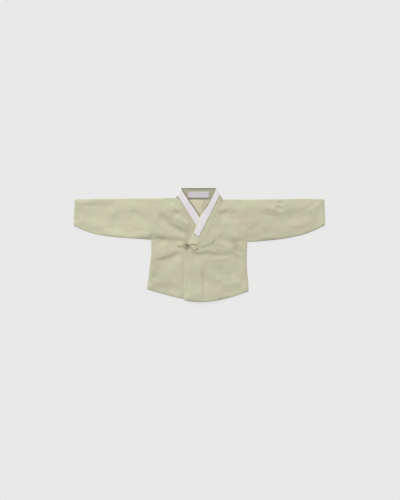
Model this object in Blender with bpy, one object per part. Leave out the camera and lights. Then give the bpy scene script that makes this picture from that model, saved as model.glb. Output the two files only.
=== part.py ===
"""A child's korean jacket (jeogori) of pale green silk, laid out flat, one solid for each piece.

Sizes are in millimetres and become metres where a mesh is made. X runs along the sleeves
towards the wearer's left, Y runs from the hem to the collar, and Z is up from the surface
that the jacket lies on. Left and right in the names are the wearer's.
"""
import math

import bmesh
import bpy
import numpy as np

METRES = 0.001

# Cloth and seams
WALL = 1.0
SEAM_GAP = 0.3
LAYER = WALL + SEAM_GAP
SLACK = 0.6
LAP_SLACK = 0.3
COLLAR_LAP = 1.7
COLLAR_SLACK = 0.35
STRIP_SLACK = 0.3
CORD_SLACK = 0.3

# Whole garment
SPAN = 720.0
CENTRE_BACK_X = 1.3
BACK_EDGE_INSET = 1.6
CROWN = 3.4
FOLD_FADE = 10.0
PRESSED_SHARE = 0.6
FOLD_END_LEVEL = 0.1
FOLD_END_SHARE = 0.25
SAME_POINT = 0.01

# Where a change of height starts, measured from an edge, and how far it runs
CROWN_RISE = dict(start=-6.0, run=44.0)
FOLDS_END = dict(start=-20.0, run=14.0)
PRESS = dict(start=2.0, run=16.0)
LAP_EDGE = dict(start=0.0, run=15.0)
PANEL_END = dict(start=4.0, run=16.0)
COLLAR_END = dict(start=2.5, run=8.0)
UNDER_END = dict(start=2.0, run=4.0)

# Shoulder and sleeve top edge: x, y
SHOULDER_ROWS = [
    (-357.1, 131.1),
    (-285.0, 132.5),
    (-199.0, 133.9),
    (-140.8, 135.4),
    (-84.7, 135.9),
    (-69.2, 135.7),
    (66.9, 132.5),
    (141.1, 132.2),
    (345.0, 133.4),
    (357.7, 133.1),
]

# Armhole seam and then side seam of the body: y, x
RIGHT_SIDE_ROWS = [
    (135.4, -140.8),
    (15.0, -138.5),
    (-13.0, -138.0),
    (-41.7, -140.2),
    (-70.3, -143.4),
    (-99.0, -146.8),
    (-113.3, -149.4),
    (-127.6, -151.1),
]
LEFT_SIDE_ROWS = [
    (132.2, 141.1),
    (8.5, 137.1),
    (-41.7, 135.7),
    (-70.3, 136.5),
    (-99.0, 139.4),
    (-132.8, 141.1),
]
RIGHT_ARMPIT_Y = 15.0
LEFT_ARMPIT_Y = 8.5

# Curved sleeve undersides: rise from armpit to cuff is a straight part and a late sweep
RIGHT_UNDERARM = dict(x=-138.5, y=15.0, straight=14.3, sweep=26.4, power=4.4)
LEFT_UNDERARM = dict(x=137.1, y=8.5, straight=15.7, sweep=33.8, power=3.5)
RIGHT_CUFF_TOP_X = -357.1
LEFT_CUFF_TOP_X = 357.7

# Hems: lowest point, half width, rise at the corner and the power of the curve
OUTER_HEM = dict(x=4.2, y=-164.6, reach=137.0, rise=31.8, power=1.7)
INNER_HEM = dict(x=-21.6, y=-159.7, reach=129.0, rise=32.1, power=1.24)
BACK_HEM = dict(x=1.3, y=-160.6, reach=145.0, rise=32.0, power=1.35)

# Free front edge and the gusset (seop) seam of the outer front: y, x
FRONT_EDGE_ROWS = [(8.0, -36.9), (-47.4, -38.8), (-158.0, -43.4), (-170.0, -43.9)]
OUTER_NECK_ROWS = [
    (132.5, 66.6),
    (124.0, 61.0),
    (104.5, 47.5),
    (81.7, 38.0),
    (61.0, 27.5),
    (36.8, 15.0),
    (18.0, 6.0),
    (5.0, -3.0),
]
OUTER_SEAM = dict(top=(-3.0, 5.0), low=(20.7, -170.0))
OUTER_SEOP_TOP_ROWS = [(-37.0, 0.5), (-20.0, 1.0), (-3.0, 5.0)]

# The same for the inner front, hidden but for its neck: y, x
INNER_NECK_ROWS = [
    (135.7, -68.9),
    (126.0, -56.5),
    (100.0, -39.2),
    (70.0, -21.6),
    (40.0, -4.1),
    (22.0, 5.4),
    (8.0, 8.0),
]
INNER_SEAM = dict(top=(8.0, 8.0), low=(-20.4, -170.0))
INNER_EDGE_ROWS = [(35.0, 36.0), (-6.0, 37.1), (-158.0, 43.4)]
INNER_SEOP_TOP_ROWS = [(2.0, 8.0), (8.0, 8.5), (20.0, 19.0), (37.0, 31.0)]

# Collar band, from the tip on the outer front up to the turn at the neck:
# inner edge x, y and outer edge x, y
OUTER_COLLAR_ROWS = [
    (-36.5, 2.7, -34.2, -8.5),
    (-33.5, 8.0, -20.2, -7.9),
    (-27.5, 18.0, -4.4, -1.6),
    (-17.3, 35.7, 13.0, 15.5),
    (-7.8, 58.0, 21.4, 37.6),
    (2.1, 82.1, 32.8, 61.8),
    (14.8, 102.1, 44.8, 82.2),
    (27.0, 122.2, 55.0, 104.7),
    (38.2, 143.4, 61.6, 120.0),
    (46.9, 163.4, 65.2, 132.6),
]
# The inner front's band, from the turn down to its hidden tip
INNER_COLLAR_ROWS = [
    (-51.2, 163.4, -67.3, 135.2),
    (-41.0, 146.4, -60.5, 120.6),
    (-29.5, 129.2, -50.2, 103.0),
    (-18.0, 111.9, -39.6, 84.9),
    (-6.5, 94.7, -28.8, 66.4),
    (5.0, 77.4, -18.0, 48.0),
    (16.5, 60.1, -7.3, 29.7),
    (28.0, 42.9, 0.5, 15.5),
    (34.5, 33.1, 7.0, 3.5),
    (38.0, 26.5, 21.0, 4.5),
    (38.8, 20.0, 33.0, 11.0),
]
COLLAR_SEAM_Y = 131.2
COLLAR_SEAM_RISE = 3.4
LEFT_TURN = dict(top=(48.8, 164.6), foot=(66.9, 132.5))
RIGHT_TURN = dict(top=(-53.1, 164.6), foot=(-69.2, 135.7))

# White strip: where it starts and ends on the band's rows, and its share of the band's width
# as row, share
STRIP_FIRST_ROW = 3.0
STRIP_LAST_ROW = 6.5
STRIP_SHARES_OUTER = [(0.0, 0.47), (6.0, 0.47), (7.0, 0.53), (9.0, 0.6)]
STRIP_SHARES_INNER = [(0.0, 0.78), (1.0, 0.63), (2.0, 0.67), (3.0, 0.66), (10.0, 0.66)]
STRIP_SHARE_BACK = 0.6
TURN_ANGLES = (45.0, 90.0, 135.0, 180.0)
TURN_FOOT_RISE = 0.3
BAND_ACROSS = (0.0, 0.25, 0.5, 0.75, 1.0)
STRIP_ACROSS = (0.0, 0.5, 1.0)

LABEL = dict(left=-31.5, right=27.1, top=153.1, bottom=136.5)
LINING_ROWS = [(130.8, -50.0, 50.0), (108.0, -32.0, 36.0), (86.0, -18.0, 22.0), (68.0, -6.0, 10.0)]

# Knotted button and its cords. The loop goes round the knot, draws together in a neck and
# opens again in an eye. Neck rows: x, middle y, half the distance between the two cords.
CORD_RADIUS = 1.0
KNOT = dict(x=-36.4, y=0.4, radius=4.6, half_height=3.8)
NOOSE = dict(radius=6.2, turn=118.0)
NECK_ROWS = [(-43.6, -0.1, 3.2), (-47.6, -0.8, 1.5), (-51.8, -1.6, 1.7)]
EYE = dict(x=-58.2, y=-2.4, half_length=5.0, half_width=3.9, open=52.0)
CLIMB = dict(start=-51.0, run=10.0)
TAIL = dict(x=-15.4, y=-3.8, half_length=10.6, half_width=6.0, tilt=-14.0)
TAIL_TIP_X = -27.6
TAIL_TIP_START = 0.8

# Largest folds. Height is that of the crest, or of the trough if below zero. Width is that of
# the side on the left when walking along the path, and far that of the other side.
INNER_FOLDS = [
    dict(height=-3.2, width=9.0, far=13.0, path=[(-124, 90), (-103, 77), (-83, 61), (-34, 34)]),
    dict(height=-1.6, width=4.5, far=7.0, path=[(-77, 98), (-66, 94), (-55, 87)]),
    dict(height=1.2, width=6.0, far=6.0, path=[(-72, 82), (-46, 68), (-24, 57)]),
    dict(height=-3.0, width=8.0, far=13.0, path=[(-141, 13), (-119, 12), (-90, 13)]),
    dict(height=-1.6, width=8.0, far=12.0, path=[(-98, 14), (-62, 11), (-42, 4)]),
    dict(height=-3.0, width=8.0, far=21.0, path=[(-146, -57), (-84, -37), (-68, -29), (-44, -22)]),
    dict(height=-1.8, width=8.0, far=14.0, path=[(-130, -104), (-121, -78), (-116, -50)]),
    dict(height=0.9, width=16.0, far=16.0, path=[(-60, -60), (-88, -92), (-112, -118)]),
]
OUTER_FOLDS = [
    dict(height=-3.0, width=7.0, far=11.0, path=[(53, 90), (70, 92), (89, 99)]),
    dict(height=-2.2, width=5.0, far=9.0, path=[(-28, -19), (-4, -25), (24, -24), (52, -27)]),
    dict(height=-2.5, width=8.0, far=16.0, path=[(32, -30), (62, -29), (92, -26), (112, -22)]),
    dict(height=-2.2, width=13.0, far=8.0, path=[(50, 28), (73, 13), (96, 5), (112, -8)]),
    dict(height=-2.6, width=17.0, far=7.0, path=[(113, -26), (118, -4), (116, 18)]),
    dict(height=-1.1, width=4.5, far=12.0, path=[(15, -150), (12, -100), (8, -68)]),
    dict(height=1.1, width=12.0, far=8.0, path=[(9, -76), (34, -90), (64, -108)]),
    dict(height=0.9, width=12.0, far=16.0, path=[(60, 62), (92, 62), (120, 56)]),
    dict(height=0.9, width=16.0, far=16.0, path=[(70, -60), (92, -92), (104, -124)]),
]
SLEEVE_FOLDS = [
    dict(height=-2.2, width=8.0, far=24.0, path=[(-353, 108), (-313, 108), (-272, 111), (-232, 114)]),
    dict(height=1.0, width=9.0, far=9.0, path=[(-208, 114), (-184, 118), (-163, 115)]),
    dict(height=-1.6, width=8.0, far=12.0, path=[(-200, 102), (-180, 90), (-162, 78), (-146, 64)]),
    dict(height=-0.9, width=7.0, far=12.0, path=[(-234, 34), (-240, 66), (-247, 92)]),
    dict(height=0.9, width=17.0, far=17.0, path=[(-334, 62), (-297, 56), (-264, 56)]),
    dict(height=1.5, width=9.0, far=7.0, path=[(-184, 30), (-160, 27), (-136, 23)]),
    dict(height=-1.3, width=12.0, far=24.0, path=[(170, 90), (208, 80), (252, 82), (316, 100)]),
    dict(height=1.0, width=9.0, far=9.0, path=[(184, 110), (202, 108), (220, 102)]),
    dict(height=-1.6, width=4.0, far=5.0, path=[(224, 129), (231, 122), (240, 119)]),
    dict(height=-1.4, width=4.5, far=6.0, path=[(222, 112), (232, 106), (244, 106)]),
    dict(height=0.9, width=15.0, far=15.0, path=[(236, 52), (278, 54), (322, 66)]),
    dict(height=1.2, width=8.0, far=6.0, path=[(170, 24), (198, 22), (222, 26)]),
    dict(height=-0.9, width=9.0, far=9.0, path=[(142, 36), (158, 50), (184, 58)]),
]

# How a closed seam edge rounds down to the surface, from the panel outwards:
# outer face inset and height, inner face inset and height
PANEL_LENGTH = 285.0
PANEL_WIDTH = 130.0
CURL_STEPS = (0.0, 0.8, 1.6)
CURL_START = 2.4
ARMPIT_RUN = 4.0
CURL_ROWS = [
    (0.8, 2.4, 1.6, 1.55),
    (0.0, 1.3, 1.2, 0.8),
    (0.25, 0.15, 1.2, 0.15),
]

# How many points each piece has across and down, and how far they crowd towards its ends
GRIDS = {
    "front_inner": (15, 33),
    "seop_inner": (6, 13),
    "front_outer": (17, 36),
    "seop_outer": (7, 19),
    "back": (11, 16),
    "back_lining": (6, 6),
    "label": (5, 3),
    "sleeve": (11, 27),
}
EVEN = 0.0
SLEEVE_CROWD = 0.2
GUSSET_CROWD = 0.3
PANEL_CROWD = 0.35
BACK_STEPS = 13
BACK_BOW_POWER = 6
NOOSE_POINTS = 15
EYE_POINTS = 13
TAIL_POINTS = 26
BALL_SEGMENTS = 14
BALL_RINGS = 9

# Half of a sleeve's ring, from its folded edge: outer face inset and height, inner face inset
# and height. No height means the height of the upper layer there.
SLEEVE_UPPER_RIM = [
    (0.0, 1.15, 1.0, 1.15),
    (0.45, 2.0, 1.15, 1.22),
    (1.4, None, 1.6, None),
]
SLEEVE_LOWER_RIM = [
    (1.4, 0.0, 1.6, 1.0),
    (0.45, 0.3, 1.15, 1.075),
]
SLEEVE_FLOOR_SHARES = (0.75, 0.5, 0.25)

# The back under the neck: half width and run of the raised middle, and its height; and how the
# sides draw in below the armpits
BACK_NECK = dict(start=36.0, run=12.0, y=136.5)
BACK_SIDE = dict(above=26.0, run=14.0)

COLOURS = {
    "silk": (0.53, 0.50, 0.36),
    "strip": (0.78, 0.76, 0.76),
    "lining": (0.66, 0.59, 0.45),
    "label": (0.70, 0.68, 0.68),
    "cord": (0.46, 0.45, 0.32),
}


def smooth_step(value):
    """Rise from 0 to 1 with level ends."""
    value = np.clip(value, 0.0, 1.0)
    return value * value * (3.0 - 2.0 * value)


def ramp(value, place):
    """Rise from 0 to 1 over a place's run, from its start."""
    return smooth_step((value - place["start"]) / place["run"])


def smooth_curve(rows):
    """Give a function that runs smoothly through rows of (place, value)."""
    places, values = np.array(sorted(rows), dtype=float).T
    slopes = np.gradient(values, places)

    def curve(place):
        place = np.clip(place, places[0], places[-1])
        low = np.clip(np.searchsorted(places, place) - 1, 0, len(places) - 2)
        step = places[low + 1] - places[low]
        share = (place - places[low]) / step
        ease = share * share * (3.0 - 2.0 * share)
        start_bend = share * (1.0 - share) ** 2 * step * slopes[low]
        end_bend = share * share * (share - 1.0) * step * slopes[low + 1]
        return values[low] * (1.0 - ease) + values[low + 1] * ease + start_bend + end_bend

    return curve


shoulder_y = smooth_curve(SHOULDER_ROWS)
right_side_x = smooth_curve(RIGHT_SIDE_ROWS)
left_side_x = smooth_curve(LEFT_SIDE_ROWS)
front_edge_x = smooth_curve(FRONT_EDGE_ROWS)
inner_edge_x = smooth_curve(INNER_EDGE_ROWS)


def neck_and_seam_x(neck_rows, seam):
    """Give a front's edge towards the middle: the neck curve, then the straight gusset seam."""
    neck = smooth_curve(neck_rows)
    top_x, top_y = seam["top"]
    low_x, low_y = seam["low"]

    def edge_x(y):
        straight = top_x + (top_y - y) * (low_x - top_x) / (top_y - low_y)
        return np.where(y > top_y, neck(y), straight)

    return edge_x


outer_neck_x = neck_and_seam_x(OUTER_NECK_ROWS, OUTER_SEAM)
inner_neck_x = neck_and_seam_x(INNER_NECK_ROWS, INNER_SEAM)


def underarm_y(x, arm):
    """Height of a sleeve's lower edge at x."""
    share = np.clip(abs(x - arm["x"]) / (SPAN / 2.0 - abs(arm["x"])), 0.0, 1.0)
    return arm["y"] + arm["straight"] * share + arm["sweep"] * share ** arm["power"]


def hem_y(x, hem):
    """Height of a curved hem at x."""
    return hem["y"] + hem["rise"] * (abs(x - hem["x"]) / hem["reach"]) ** hem["power"]


def silhouette():
    """Give the garment's outline from above as one closed path."""
    right_top = np.linspace(LEFT_TURN["foot"][0], LEFT_CUFF_TOP_X, 20)
    right_low = np.linspace(SPAN / 2.0, LEFT_UNDERARM["x"], 24)
    right_side = np.linspace(LEFT_ARMPIT_Y, LEFT_SIDE_ROWS[-1][0], 12)
    outer_hem = np.linspace(LEFT_SIDE_ROWS[-1][1], FRONT_EDGE_ROWS[2][1], 24)
    inner_hem = np.linspace(FRONT_EDGE_ROWS[2][1], RIGHT_SIDE_ROWS[-1][1], 16)
    left_side = np.linspace(RIGHT_SIDE_ROWS[-1][0], RIGHT_ARMPIT_Y, 12)
    left_low = np.linspace(RIGHT_UNDERARM["x"], -SPAN / 2.0, 24)
    left_top = np.linspace(RIGHT_CUFF_TOP_X, RIGHT_TURN["foot"][0], 20)
    path = [LEFT_TURN["top"]]
    path += [(x, shoulder_y(x)) for x in right_top]
    path += [(x, underarm_y(x, LEFT_UNDERARM)) for x in right_low]
    path += [(left_side_x(y), y) for y in right_side]
    path += [(x, hem_y(x, OUTER_HEM)) for x in outer_hem]
    path += [(x, hem_y(x, INNER_HEM)) for x in inner_hem]
    path += [(right_side_x(y), y) for y in left_side]
    path += [(x, underarm_y(x, RIGHT_UNDERARM)) for x in left_low]
    path += [(x, shoulder_y(x)) for x in left_top]
    path += [RIGHT_TURN["top"], LEFT_TURN["top"]]
    path = np.array(path, dtype=float)
    moved = np.linalg.norm(np.diff(path, axis=0), axis=1) > SAME_POINT
    return path[np.concatenate(([True], moved))]


def nearest_on_path(x, y, path):
    """Give each point's distance to a path, its share of the way along, and its share of left."""
    path = np.asarray(path, dtype=float)
    start = path[:-1]
    run = path[1:] - start
    length = np.hypot(run[:, 0], run[:, 1])
    offset = np.stack((x, y), axis=-1)[..., None, :] - start
    share = np.clip((offset * run).sum(axis=-1) / length ** 2, 0.0, 1.0)
    gaps = np.linalg.norm(offset - share[..., None] * run, axis=-1)
    aside = (run[:, 0] * offset[..., 1] - run[:, 1] * offset[..., 0]) / length
    nearest = gaps.argmin(axis=-1)
    place = nearest[..., None]
    before = np.concatenate(([0.0], np.cumsum(length)))[nearest]
    along = before + np.take_along_axis(share, place, -1)[..., 0] * length[nearest]
    gap = gaps.min(axis=-1)
    left = 0.5 + 0.5 * np.take_along_axis(aside, place, -1)[..., 0] / np.maximum(gap, SAME_POINT)
    return gap, along / length.sum(), np.clip(left, 0.0, 1.0)


OUTLINE = silhouette()


def edge_distance(x, y):
    """Distance from the garment's outline."""
    return nearest_on_path(x, y, OUTLINE)[0]


def fold_height(x, y, folds):
    """Sum of the folds, each a soft ridge or trough that dies out at its ends."""
    total = np.zeros(np.shape(x))
    for fold in folds:
        gap, along, left = nearest_on_path(x, y, fold["path"])
        fade = smooth_step(np.minimum(along, 1.0 - along) / FOLD_END_SHARE)
        ends = FOLD_END_LEVEL + (1.0 - FOLD_END_LEVEL) * fade
        width = fold["far"] + (fold["width"] - fold["far"]) * left
        total = total + fold["height"] * ends * np.exp(-(gap / width) ** 2)
    return total


def resting_height(x, y, folds):
    """Underside of a front layer: close to the back at the outline, crowned and folded within."""
    gap = edge_distance(x, y)
    lift = CROWN * ramp(gap, CROWN_RISE) + fold_height(x, y, folds) * np.tanh(gap / FOLD_FADE)
    return LAYER + np.maximum(lift, 0.0)


def inner_collar_polygon():
    """Give the closed outline of the inner front's collar band."""
    rows = INNER_COLLAR_ROWS
    return np.array([row[:2] for row in rows] + [row[2:] for row in reversed(rows)] + [rows[0][:2]])


INNER_COLLAR_OUTLINE = inner_collar_polygon()
inner_reach_x = smooth_curve([(164.6, -53.1), (95.0, -6.8), (27.1, 38.5), (-6.0, 40.0), (-160.0, 44.0)])
visible_inner_x = smooth_curve(
    [(82.1, 2.1), (35.7, -17.3), (2.7, -36.5), (-47.4, -38.8), (-158.0, -43.4)]
)


def inside_polygon(x, y, polygon):
    """Tell which points lie inside a closed polygon."""
    inside = np.zeros(np.shape(x), dtype=bool)
    for (x0, y0), (x1, y1) in zip(polygon[:-1], polygon[1:]):
        if y0 != y1:
            crosses = (y0 > y) != (y1 > y)
            inside ^= crosses & (x < x0 + (y - y0) * (x1 - x0) / (y1 - y0))
    return inside


def inner_under(x, y):
    """Underside of the inner front, which lies flatter and plain where the outer front covers it."""
    x = np.asarray(x, dtype=float)
    y = np.asarray(y, dtype=float)
    past_edge = x - visible_inner_x(y)
    shown = 1.0 - ramp(past_edge, FOLDS_END)
    pressed = ramp(past_edge, PRESS)
    plain = resting_height(x, y, [])
    folded = plain + (resting_height(x, y, INNER_FOLDS) - plain) * shown
    return LAYER + (folded - LAYER) * (1.0 - PRESSED_SHARE * pressed)


def lap_height(x, y):
    """Extra height of the outer front over the inner front and over the inner collar."""
    edge_share = ramp(x - visible_inner_x(y), LAP_EDGE)
    on_panel = 1.0 - ramp(x - inner_reach_x(y), PANEL_END)
    gap = nearest_on_path(x, y, INNER_COLLAR_OUTLINE)[0]
    gap = np.where(inside_polygon(x, y, INNER_COLLAR_OUTLINE), 0.0, gap)
    on_collar = 1.0 - ramp(gap, COLLAR_END)
    return (LAYER + SLACK * edge_share) * on_panel + COLLAR_LAP * on_collar


def outer_under(x, y):
    """Underside of the outer front, nowhere lower than the inner front beneath it."""
    x = np.asarray(x, dtype=float)
    y = np.asarray(y, dtype=float)
    over_inner = 1.0 - ramp(x - inner_reach_x(y), UNDER_END)
    clear = inner_under(x, y) + (LAYER + LAP_SLACK) * over_inner
    return np.maximum(resting_height(x, y, OUTER_FOLDS) + lap_height(x, y), clear)


def sleeve_under(x, y):
    """Underside of a sleeve's upper layer."""
    return resting_height(x, y, SLEEVE_FOLDS + INNER_FOLDS + OUTER_FOLDS)


def material(name):
    """Give a plain cloth material of one colour."""
    found = bpy.data.materials.get(name)
    if found:
        return found
    made = bpy.data.materials.new(name)
    made.use_nodes = True
    shader = made.node_tree.nodes["Principled BSDF"]
    shader.inputs["Base Color"].default_value = (*COLOURS[name], 1.0)
    shader.inputs["Roughness"].default_value = 0.6
    shader.inputs["Metallic"].default_value = 0.0
    return made


def solid(name, points, faces, cloth):
    """Make one named closed body from points in millimetres."""
    mesh = bpy.data.meshes.new(name)
    mesh.from_pydata([tuple(METRES * value for value in point) for point in points], [], faces)
    work = bmesh.new()
    work.from_mesh(mesh)
    bmesh.ops.recalc_face_normals(work, faces=work.faces)
    work.to_mesh(mesh)
    work.free()
    mesh.materials.append(material(cloth))
    mesh.shade_smooth()
    mesh.set_sharp_from_angle(angle=math.radians(40.0))
    made = bpy.data.objects.new(name, mesh)
    bpy.context.collection.objects.link(made)
    return made


def wall(name, over, under, cloth):
    """Close two matching grids of points, the outer and the inner face, into one wall."""
    columns, rows = over.shape[:2]
    points = np.concatenate((over.reshape(-1, 3), under.reshape(-1, 3)))
    half = columns * rows
    faces = []
    for i in range(columns - 1):
        for j in range(rows - 1):
            corner = i * rows + j
            quad = (corner, corner + rows, corner + rows + 1, corner + 1)
            faces.append(quad)
            faces.append(tuple(half + index for index in reversed(quad)))
    rim = [i * rows for i in range(columns)]
    rim += [(columns - 1) * rows + j for j in range(1, rows)]
    rim += [i * rows + rows - 1 for i in range(columns - 2, -1, -1)]
    rim += [j for j in range(rows - 2, 0, -1)]
    for start, end in zip(rim, rim[1:] + rim[:1]):
        faces.append((start, start + half, end + half, end))
    return solid(name, points.tolist(), faces, cloth)


def tube_wall(name, over, under, cloth):
    """Close two matching sets of rings, the outer and the inner face, into one open tube."""
    stations, sides = over.shape[:2]
    points = np.concatenate((over.reshape(-1, 3), under.reshape(-1, 3)))
    half = stations * sides
    faces = []
    for i in range(stations - 1):
        for j in range(sides):
            following = (j + 1) % sides
            quad = (
                i * sides + j,
                (i + 1) * sides + j,
                (i + 1) * sides + following,
                i * sides + following,
            )
            faces.append(quad)
            faces.append(tuple(half + index for index in reversed(quad)))
    for i in (0, stations - 1):
        for j in range(sides):
            start = i * sides + j
            end = i * sides + (j + 1) % sides
            faces.append((start, end, end + half, start + half))
    return solid(name, points.tolist(), faces, cloth)


def spaced(count, ease=0.5):
    """Give shares from 0 to 1, closer together near both ends as ease grows."""
    share = np.linspace(0.0, 1.0, count)
    return share - ease * np.sin(2.0 * math.pi * share) / (2.0 * math.pi)


def panel_grid(left, right, top, bottom, across, down):
    """Place a grid of points between side curves x(y) and end curves y(x)."""
    across = np.asarray(across)[:, None]
    down = np.asarray(down)[None, :]
    y = top(0.0) * (1.0 - down) + bottom(0.0) * down + 0.0 * across
    for _ in range(16):
        x = left(y) * (1.0 - across) + right(y) * across
        y = top(x) * (1.0 - down) + bottom(x) * down
    return x, y


def faces_of(x, y, under):
    """Give the outer and the inner face of a wall over a plan grid."""
    height = under(x, y)
    return np.stack((x, y, height + WALL), axis=-1), np.stack((x, y, height), axis=-1)


def curl_top(over, under, edge):
    """Round the first rows of a panel down over the shoulder line y = edge(x)."""
    count = len(CURL_ROWS)
    for number, (over_in, over_z, under_in, under_z) in enumerate(CURL_ROWS):
        row = count - 1 - number
        over[:, row, 1] = edge(over[:, row, 0]) - over_in
        over[:, row, 2] = over_z
        under[:, row, 1] = edge(under[:, row, 0]) - under_in
        under[:, row, 2] = under_z


def curl_side(over, under, column, side, armpit_y, outward):
    """Round a panel's side columns down over the side seam x = side(y), below the armpit."""
    step = 1 if column == 0 else -1
    count = len(CURL_ROWS)
    for number, (over_in, over_z, under_in, under_z) in enumerate(CURL_ROWS):
        place = column + step * (count - 1 - number)
        y = over[place, :, 1]
        share = smooth_step((armpit_y - y) / ARMPIT_RUN)
        for face, inset, height in ((over, over_in, over_z), (under, under_in, under_z)):
            x = face[place, :, 0]
            z = face[place, :, 2]
            face[place, :, 0] = x + share * (side(y) - outward * inset - x)
            face[place, :, 2] = z + share * (height - z)


def edge_shares(count, length):
    """Give shares of a length from 0 to 1, with close ones first for the curled edge."""
    first = [step / length for step in CURL_STEPS]
    rest = CURL_START / length + (1.0 - CURL_START / length) * spaced(count, PANEL_CROWD)
    return np.concatenate((first, rest))


def make_fronts():
    """Make both fronts and their gussets."""
    half_gap = SEAM_GAP / 2.0
    x, y = panel_grid(
        lambda y: right_side_x(y) + half_gap,
        lambda y: inner_neck_x(y) - half_gap,
        shoulder_y,
        lambda x: hem_y(x, INNER_HEM),
        edge_shares(GRIDS["front_inner"][0], PANEL_WIDTH),
        edge_shares(GRIDS["front_inner"][1], PANEL_LENGTH),
    )
    over, under = faces_of(x, y, inner_under)
    curl_top(over, under, shoulder_y)
    curl_side(over, under, 0, right_side_x, RIGHT_ARMPIT_Y, -1.0)
    wall("front_inner", over, under, "silk")

    x, y = panel_grid(
        lambda y: inner_neck_x(y) + half_gap,
        inner_edge_x,
        smooth_curve(INNER_SEOP_TOP_ROWS),
        lambda x: hem_y(x, INNER_HEM),
        spaced(GRIDS["seop_inner"][0], EVEN),
        spaced(GRIDS["seop_inner"][1], GUSSET_CROWD),
    )
    wall("seop_inner", *faces_of(x, y, inner_under), "silk")

    x, y = panel_grid(
        lambda y: outer_neck_x(y) + half_gap,
        lambda y: left_side_x(y) - half_gap,
        shoulder_y,
        lambda x: hem_y(x, OUTER_HEM),
        1.0 - edge_shares(GRIDS["front_outer"][0], PANEL_WIDTH)[::-1],
        edge_shares(GRIDS["front_outer"][1], PANEL_LENGTH),
    )
    over, under = faces_of(x, y, outer_under)
    curl_top(over, under, shoulder_y)
    curl_side(over, under, len(over) - 1, left_side_x, LEFT_ARMPIT_Y, 1.0)
    wall("front_outer", over, under, "silk")

    x, y = panel_grid(
        front_edge_x,
        lambda y: outer_neck_x(y) - half_gap,
        smooth_curve(OUTER_SEOP_TOP_ROWS),
        lambda x: hem_y(x, OUTER_HEM),
        spaced(GRIDS["seop_outer"][0], EVEN),
        spaced(GRIDS["seop_outer"][1], GUSSET_CROWD),
    )
    wall("seop_outer", *faces_of(x, y, outer_under), "silk")


def back_top_y(x):
    """Top edge of the back: inside the shoulder edge, and up under the collar at the neck."""
    inset = shoulder_y(x) - BACK_EDGE_INSET
    middle = (LEFT_TURN["foot"][0] + RIGHT_TURN["foot"][0]) / 2.0
    neck = 1.0 - ramp(abs(x - middle), BACK_NECK)
    return inset + (BACK_NECK["y"] - inset) * neck


def make_back():
    """Make the two flat halves of the back and the lining that shows in the neck."""
    half_gap = SEAM_GAP / 2.0

    def flat(x, y):
        return 0.0 * x

    def right_side(y):
        hidden = smooth_step((RIGHT_ARMPIT_Y + BACK_SIDE["above"] - y) / BACK_SIDE["run"])
        return right_side_x(y) + half_gap + hidden * (BACK_EDGE_INSET - half_gap)

    def left_side(y):
        hidden = smooth_step((LEFT_ARMPIT_Y + BACK_SIDE["above"] - y) / BACK_SIDE["run"])
        return left_side_x(y) - half_gap - hidden * (BACK_EDGE_INSET - half_gap)

    across, down = (spaced(count, EVEN) for count in GRIDS["back"])
    for name, left, right in (
        ("back_right", right_side, lambda y: CENTRE_BACK_X - half_gap + 0.0 * y),
        ("back_left", lambda y: CENTRE_BACK_X + half_gap + 0.0 * y, left_side),
    ):
        x, y = panel_grid(left, right, back_top_y, lambda x: hem_y(x, BACK_HEM), across, down)
        wall(name, *faces_of(x, y, flat), "silk")

    left_edge = smooth_curve([(row[0], row[1]) for row in LINING_ROWS])
    right_edge = smooth_curve([(row[0], row[2]) for row in LINING_ROWS])
    top_y, bottom_y = LINING_ROWS[0][0], LINING_ROWS[-1][0]
    x, y = panel_grid(
        left_edge,
        right_edge,
        lambda x: top_y + 0.0 * x,
        lambda x: bottom_y + 0.0 * x,
        *(spaced(count, EVEN) for count in GRIDS["back_lining"]),
    )
    wall("back_lining", *faces_of(x, y, lambda x, y: LAYER + 0.0 * x), "lining")


def sleeve_ring(width, across):
    """List a ring's points as outer distance and height, inner distance and height."""

    def mirrored(rows):
        return [(width - row[0], row[1], width - row[2], row[3]) for row in reversed(rows)]

    ring = list(SLEEVE_UPPER_RIM)
    ring += [(share * width, None, share * width, None) for share in across]
    ring += mirrored(SLEEVE_UPPER_RIM)
    ring += mirrored(SLEEVE_LOWER_RIM)
    ring += [(share * width, 0.0, share * width, WALL) for share in SLEEVE_FLOOR_SHARES]
    ring += SLEEVE_LOWER_RIM
    return ring


def make_sleeve(name, arm, cuff_top_x, side, outward):
    """Make one flattened sleeve, open at the cuff and the armhole."""
    armhole_top_y = shoulder_y(side(SHOULDER_ROWS[3][1]))
    top_x = side(armhole_top_y) + outward * SEAM_GAP / 2.0
    low_x = arm["x"] + outward * SEAM_GAP / 2.0
    over = []
    under = []
    across = spaced(GRIDS["sleeve"][0] + 2, PANEL_CROWD)[1:-1]
    for share in spaced(GRIDS["sleeve"][1], SLEEVE_CROWD):
        top = np.array((cuff_top_x + (top_x - cuff_top_x) * share, 0.0))
        low = np.array((outward * SPAN / 2.0 * (1.0 - share) + low_x * share, 0.0))
        top[1] = shoulder_y(top[0])
        low[1] = underarm_y(low[0], arm)
        width = np.linalg.norm(low - top)
        ring_over = []
        ring_under = []
        for outer_at, outer_z, inner_at, inner_z in sleeve_ring(width, across):
            outer = top + (low - top) * outer_at / width
            inner = top + (low - top) * inner_at / width
            if outer_z is None:
                outer_z = float(sleeve_under(*outer)) + WALL
                inner_z = float(sleeve_under(*inner))
            ring_over.append((*outer, outer_z))
            ring_under.append((*inner, inner_z))
        over.append(ring_over)
        under.append(ring_under)
    tube_wall(name, np.array(over), np.array(under), "silk")


def row_reader(rows):
    """Give a function of the row number for each column of a table of edges."""
    columns = [smooth_curve(list(enumerate(column))) for column in zip(*rows)]

    def read(number):
        values = [float(column(number)) for column in columns]
        return np.array(values[:2]), np.array(values[2:])

    return read


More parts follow.
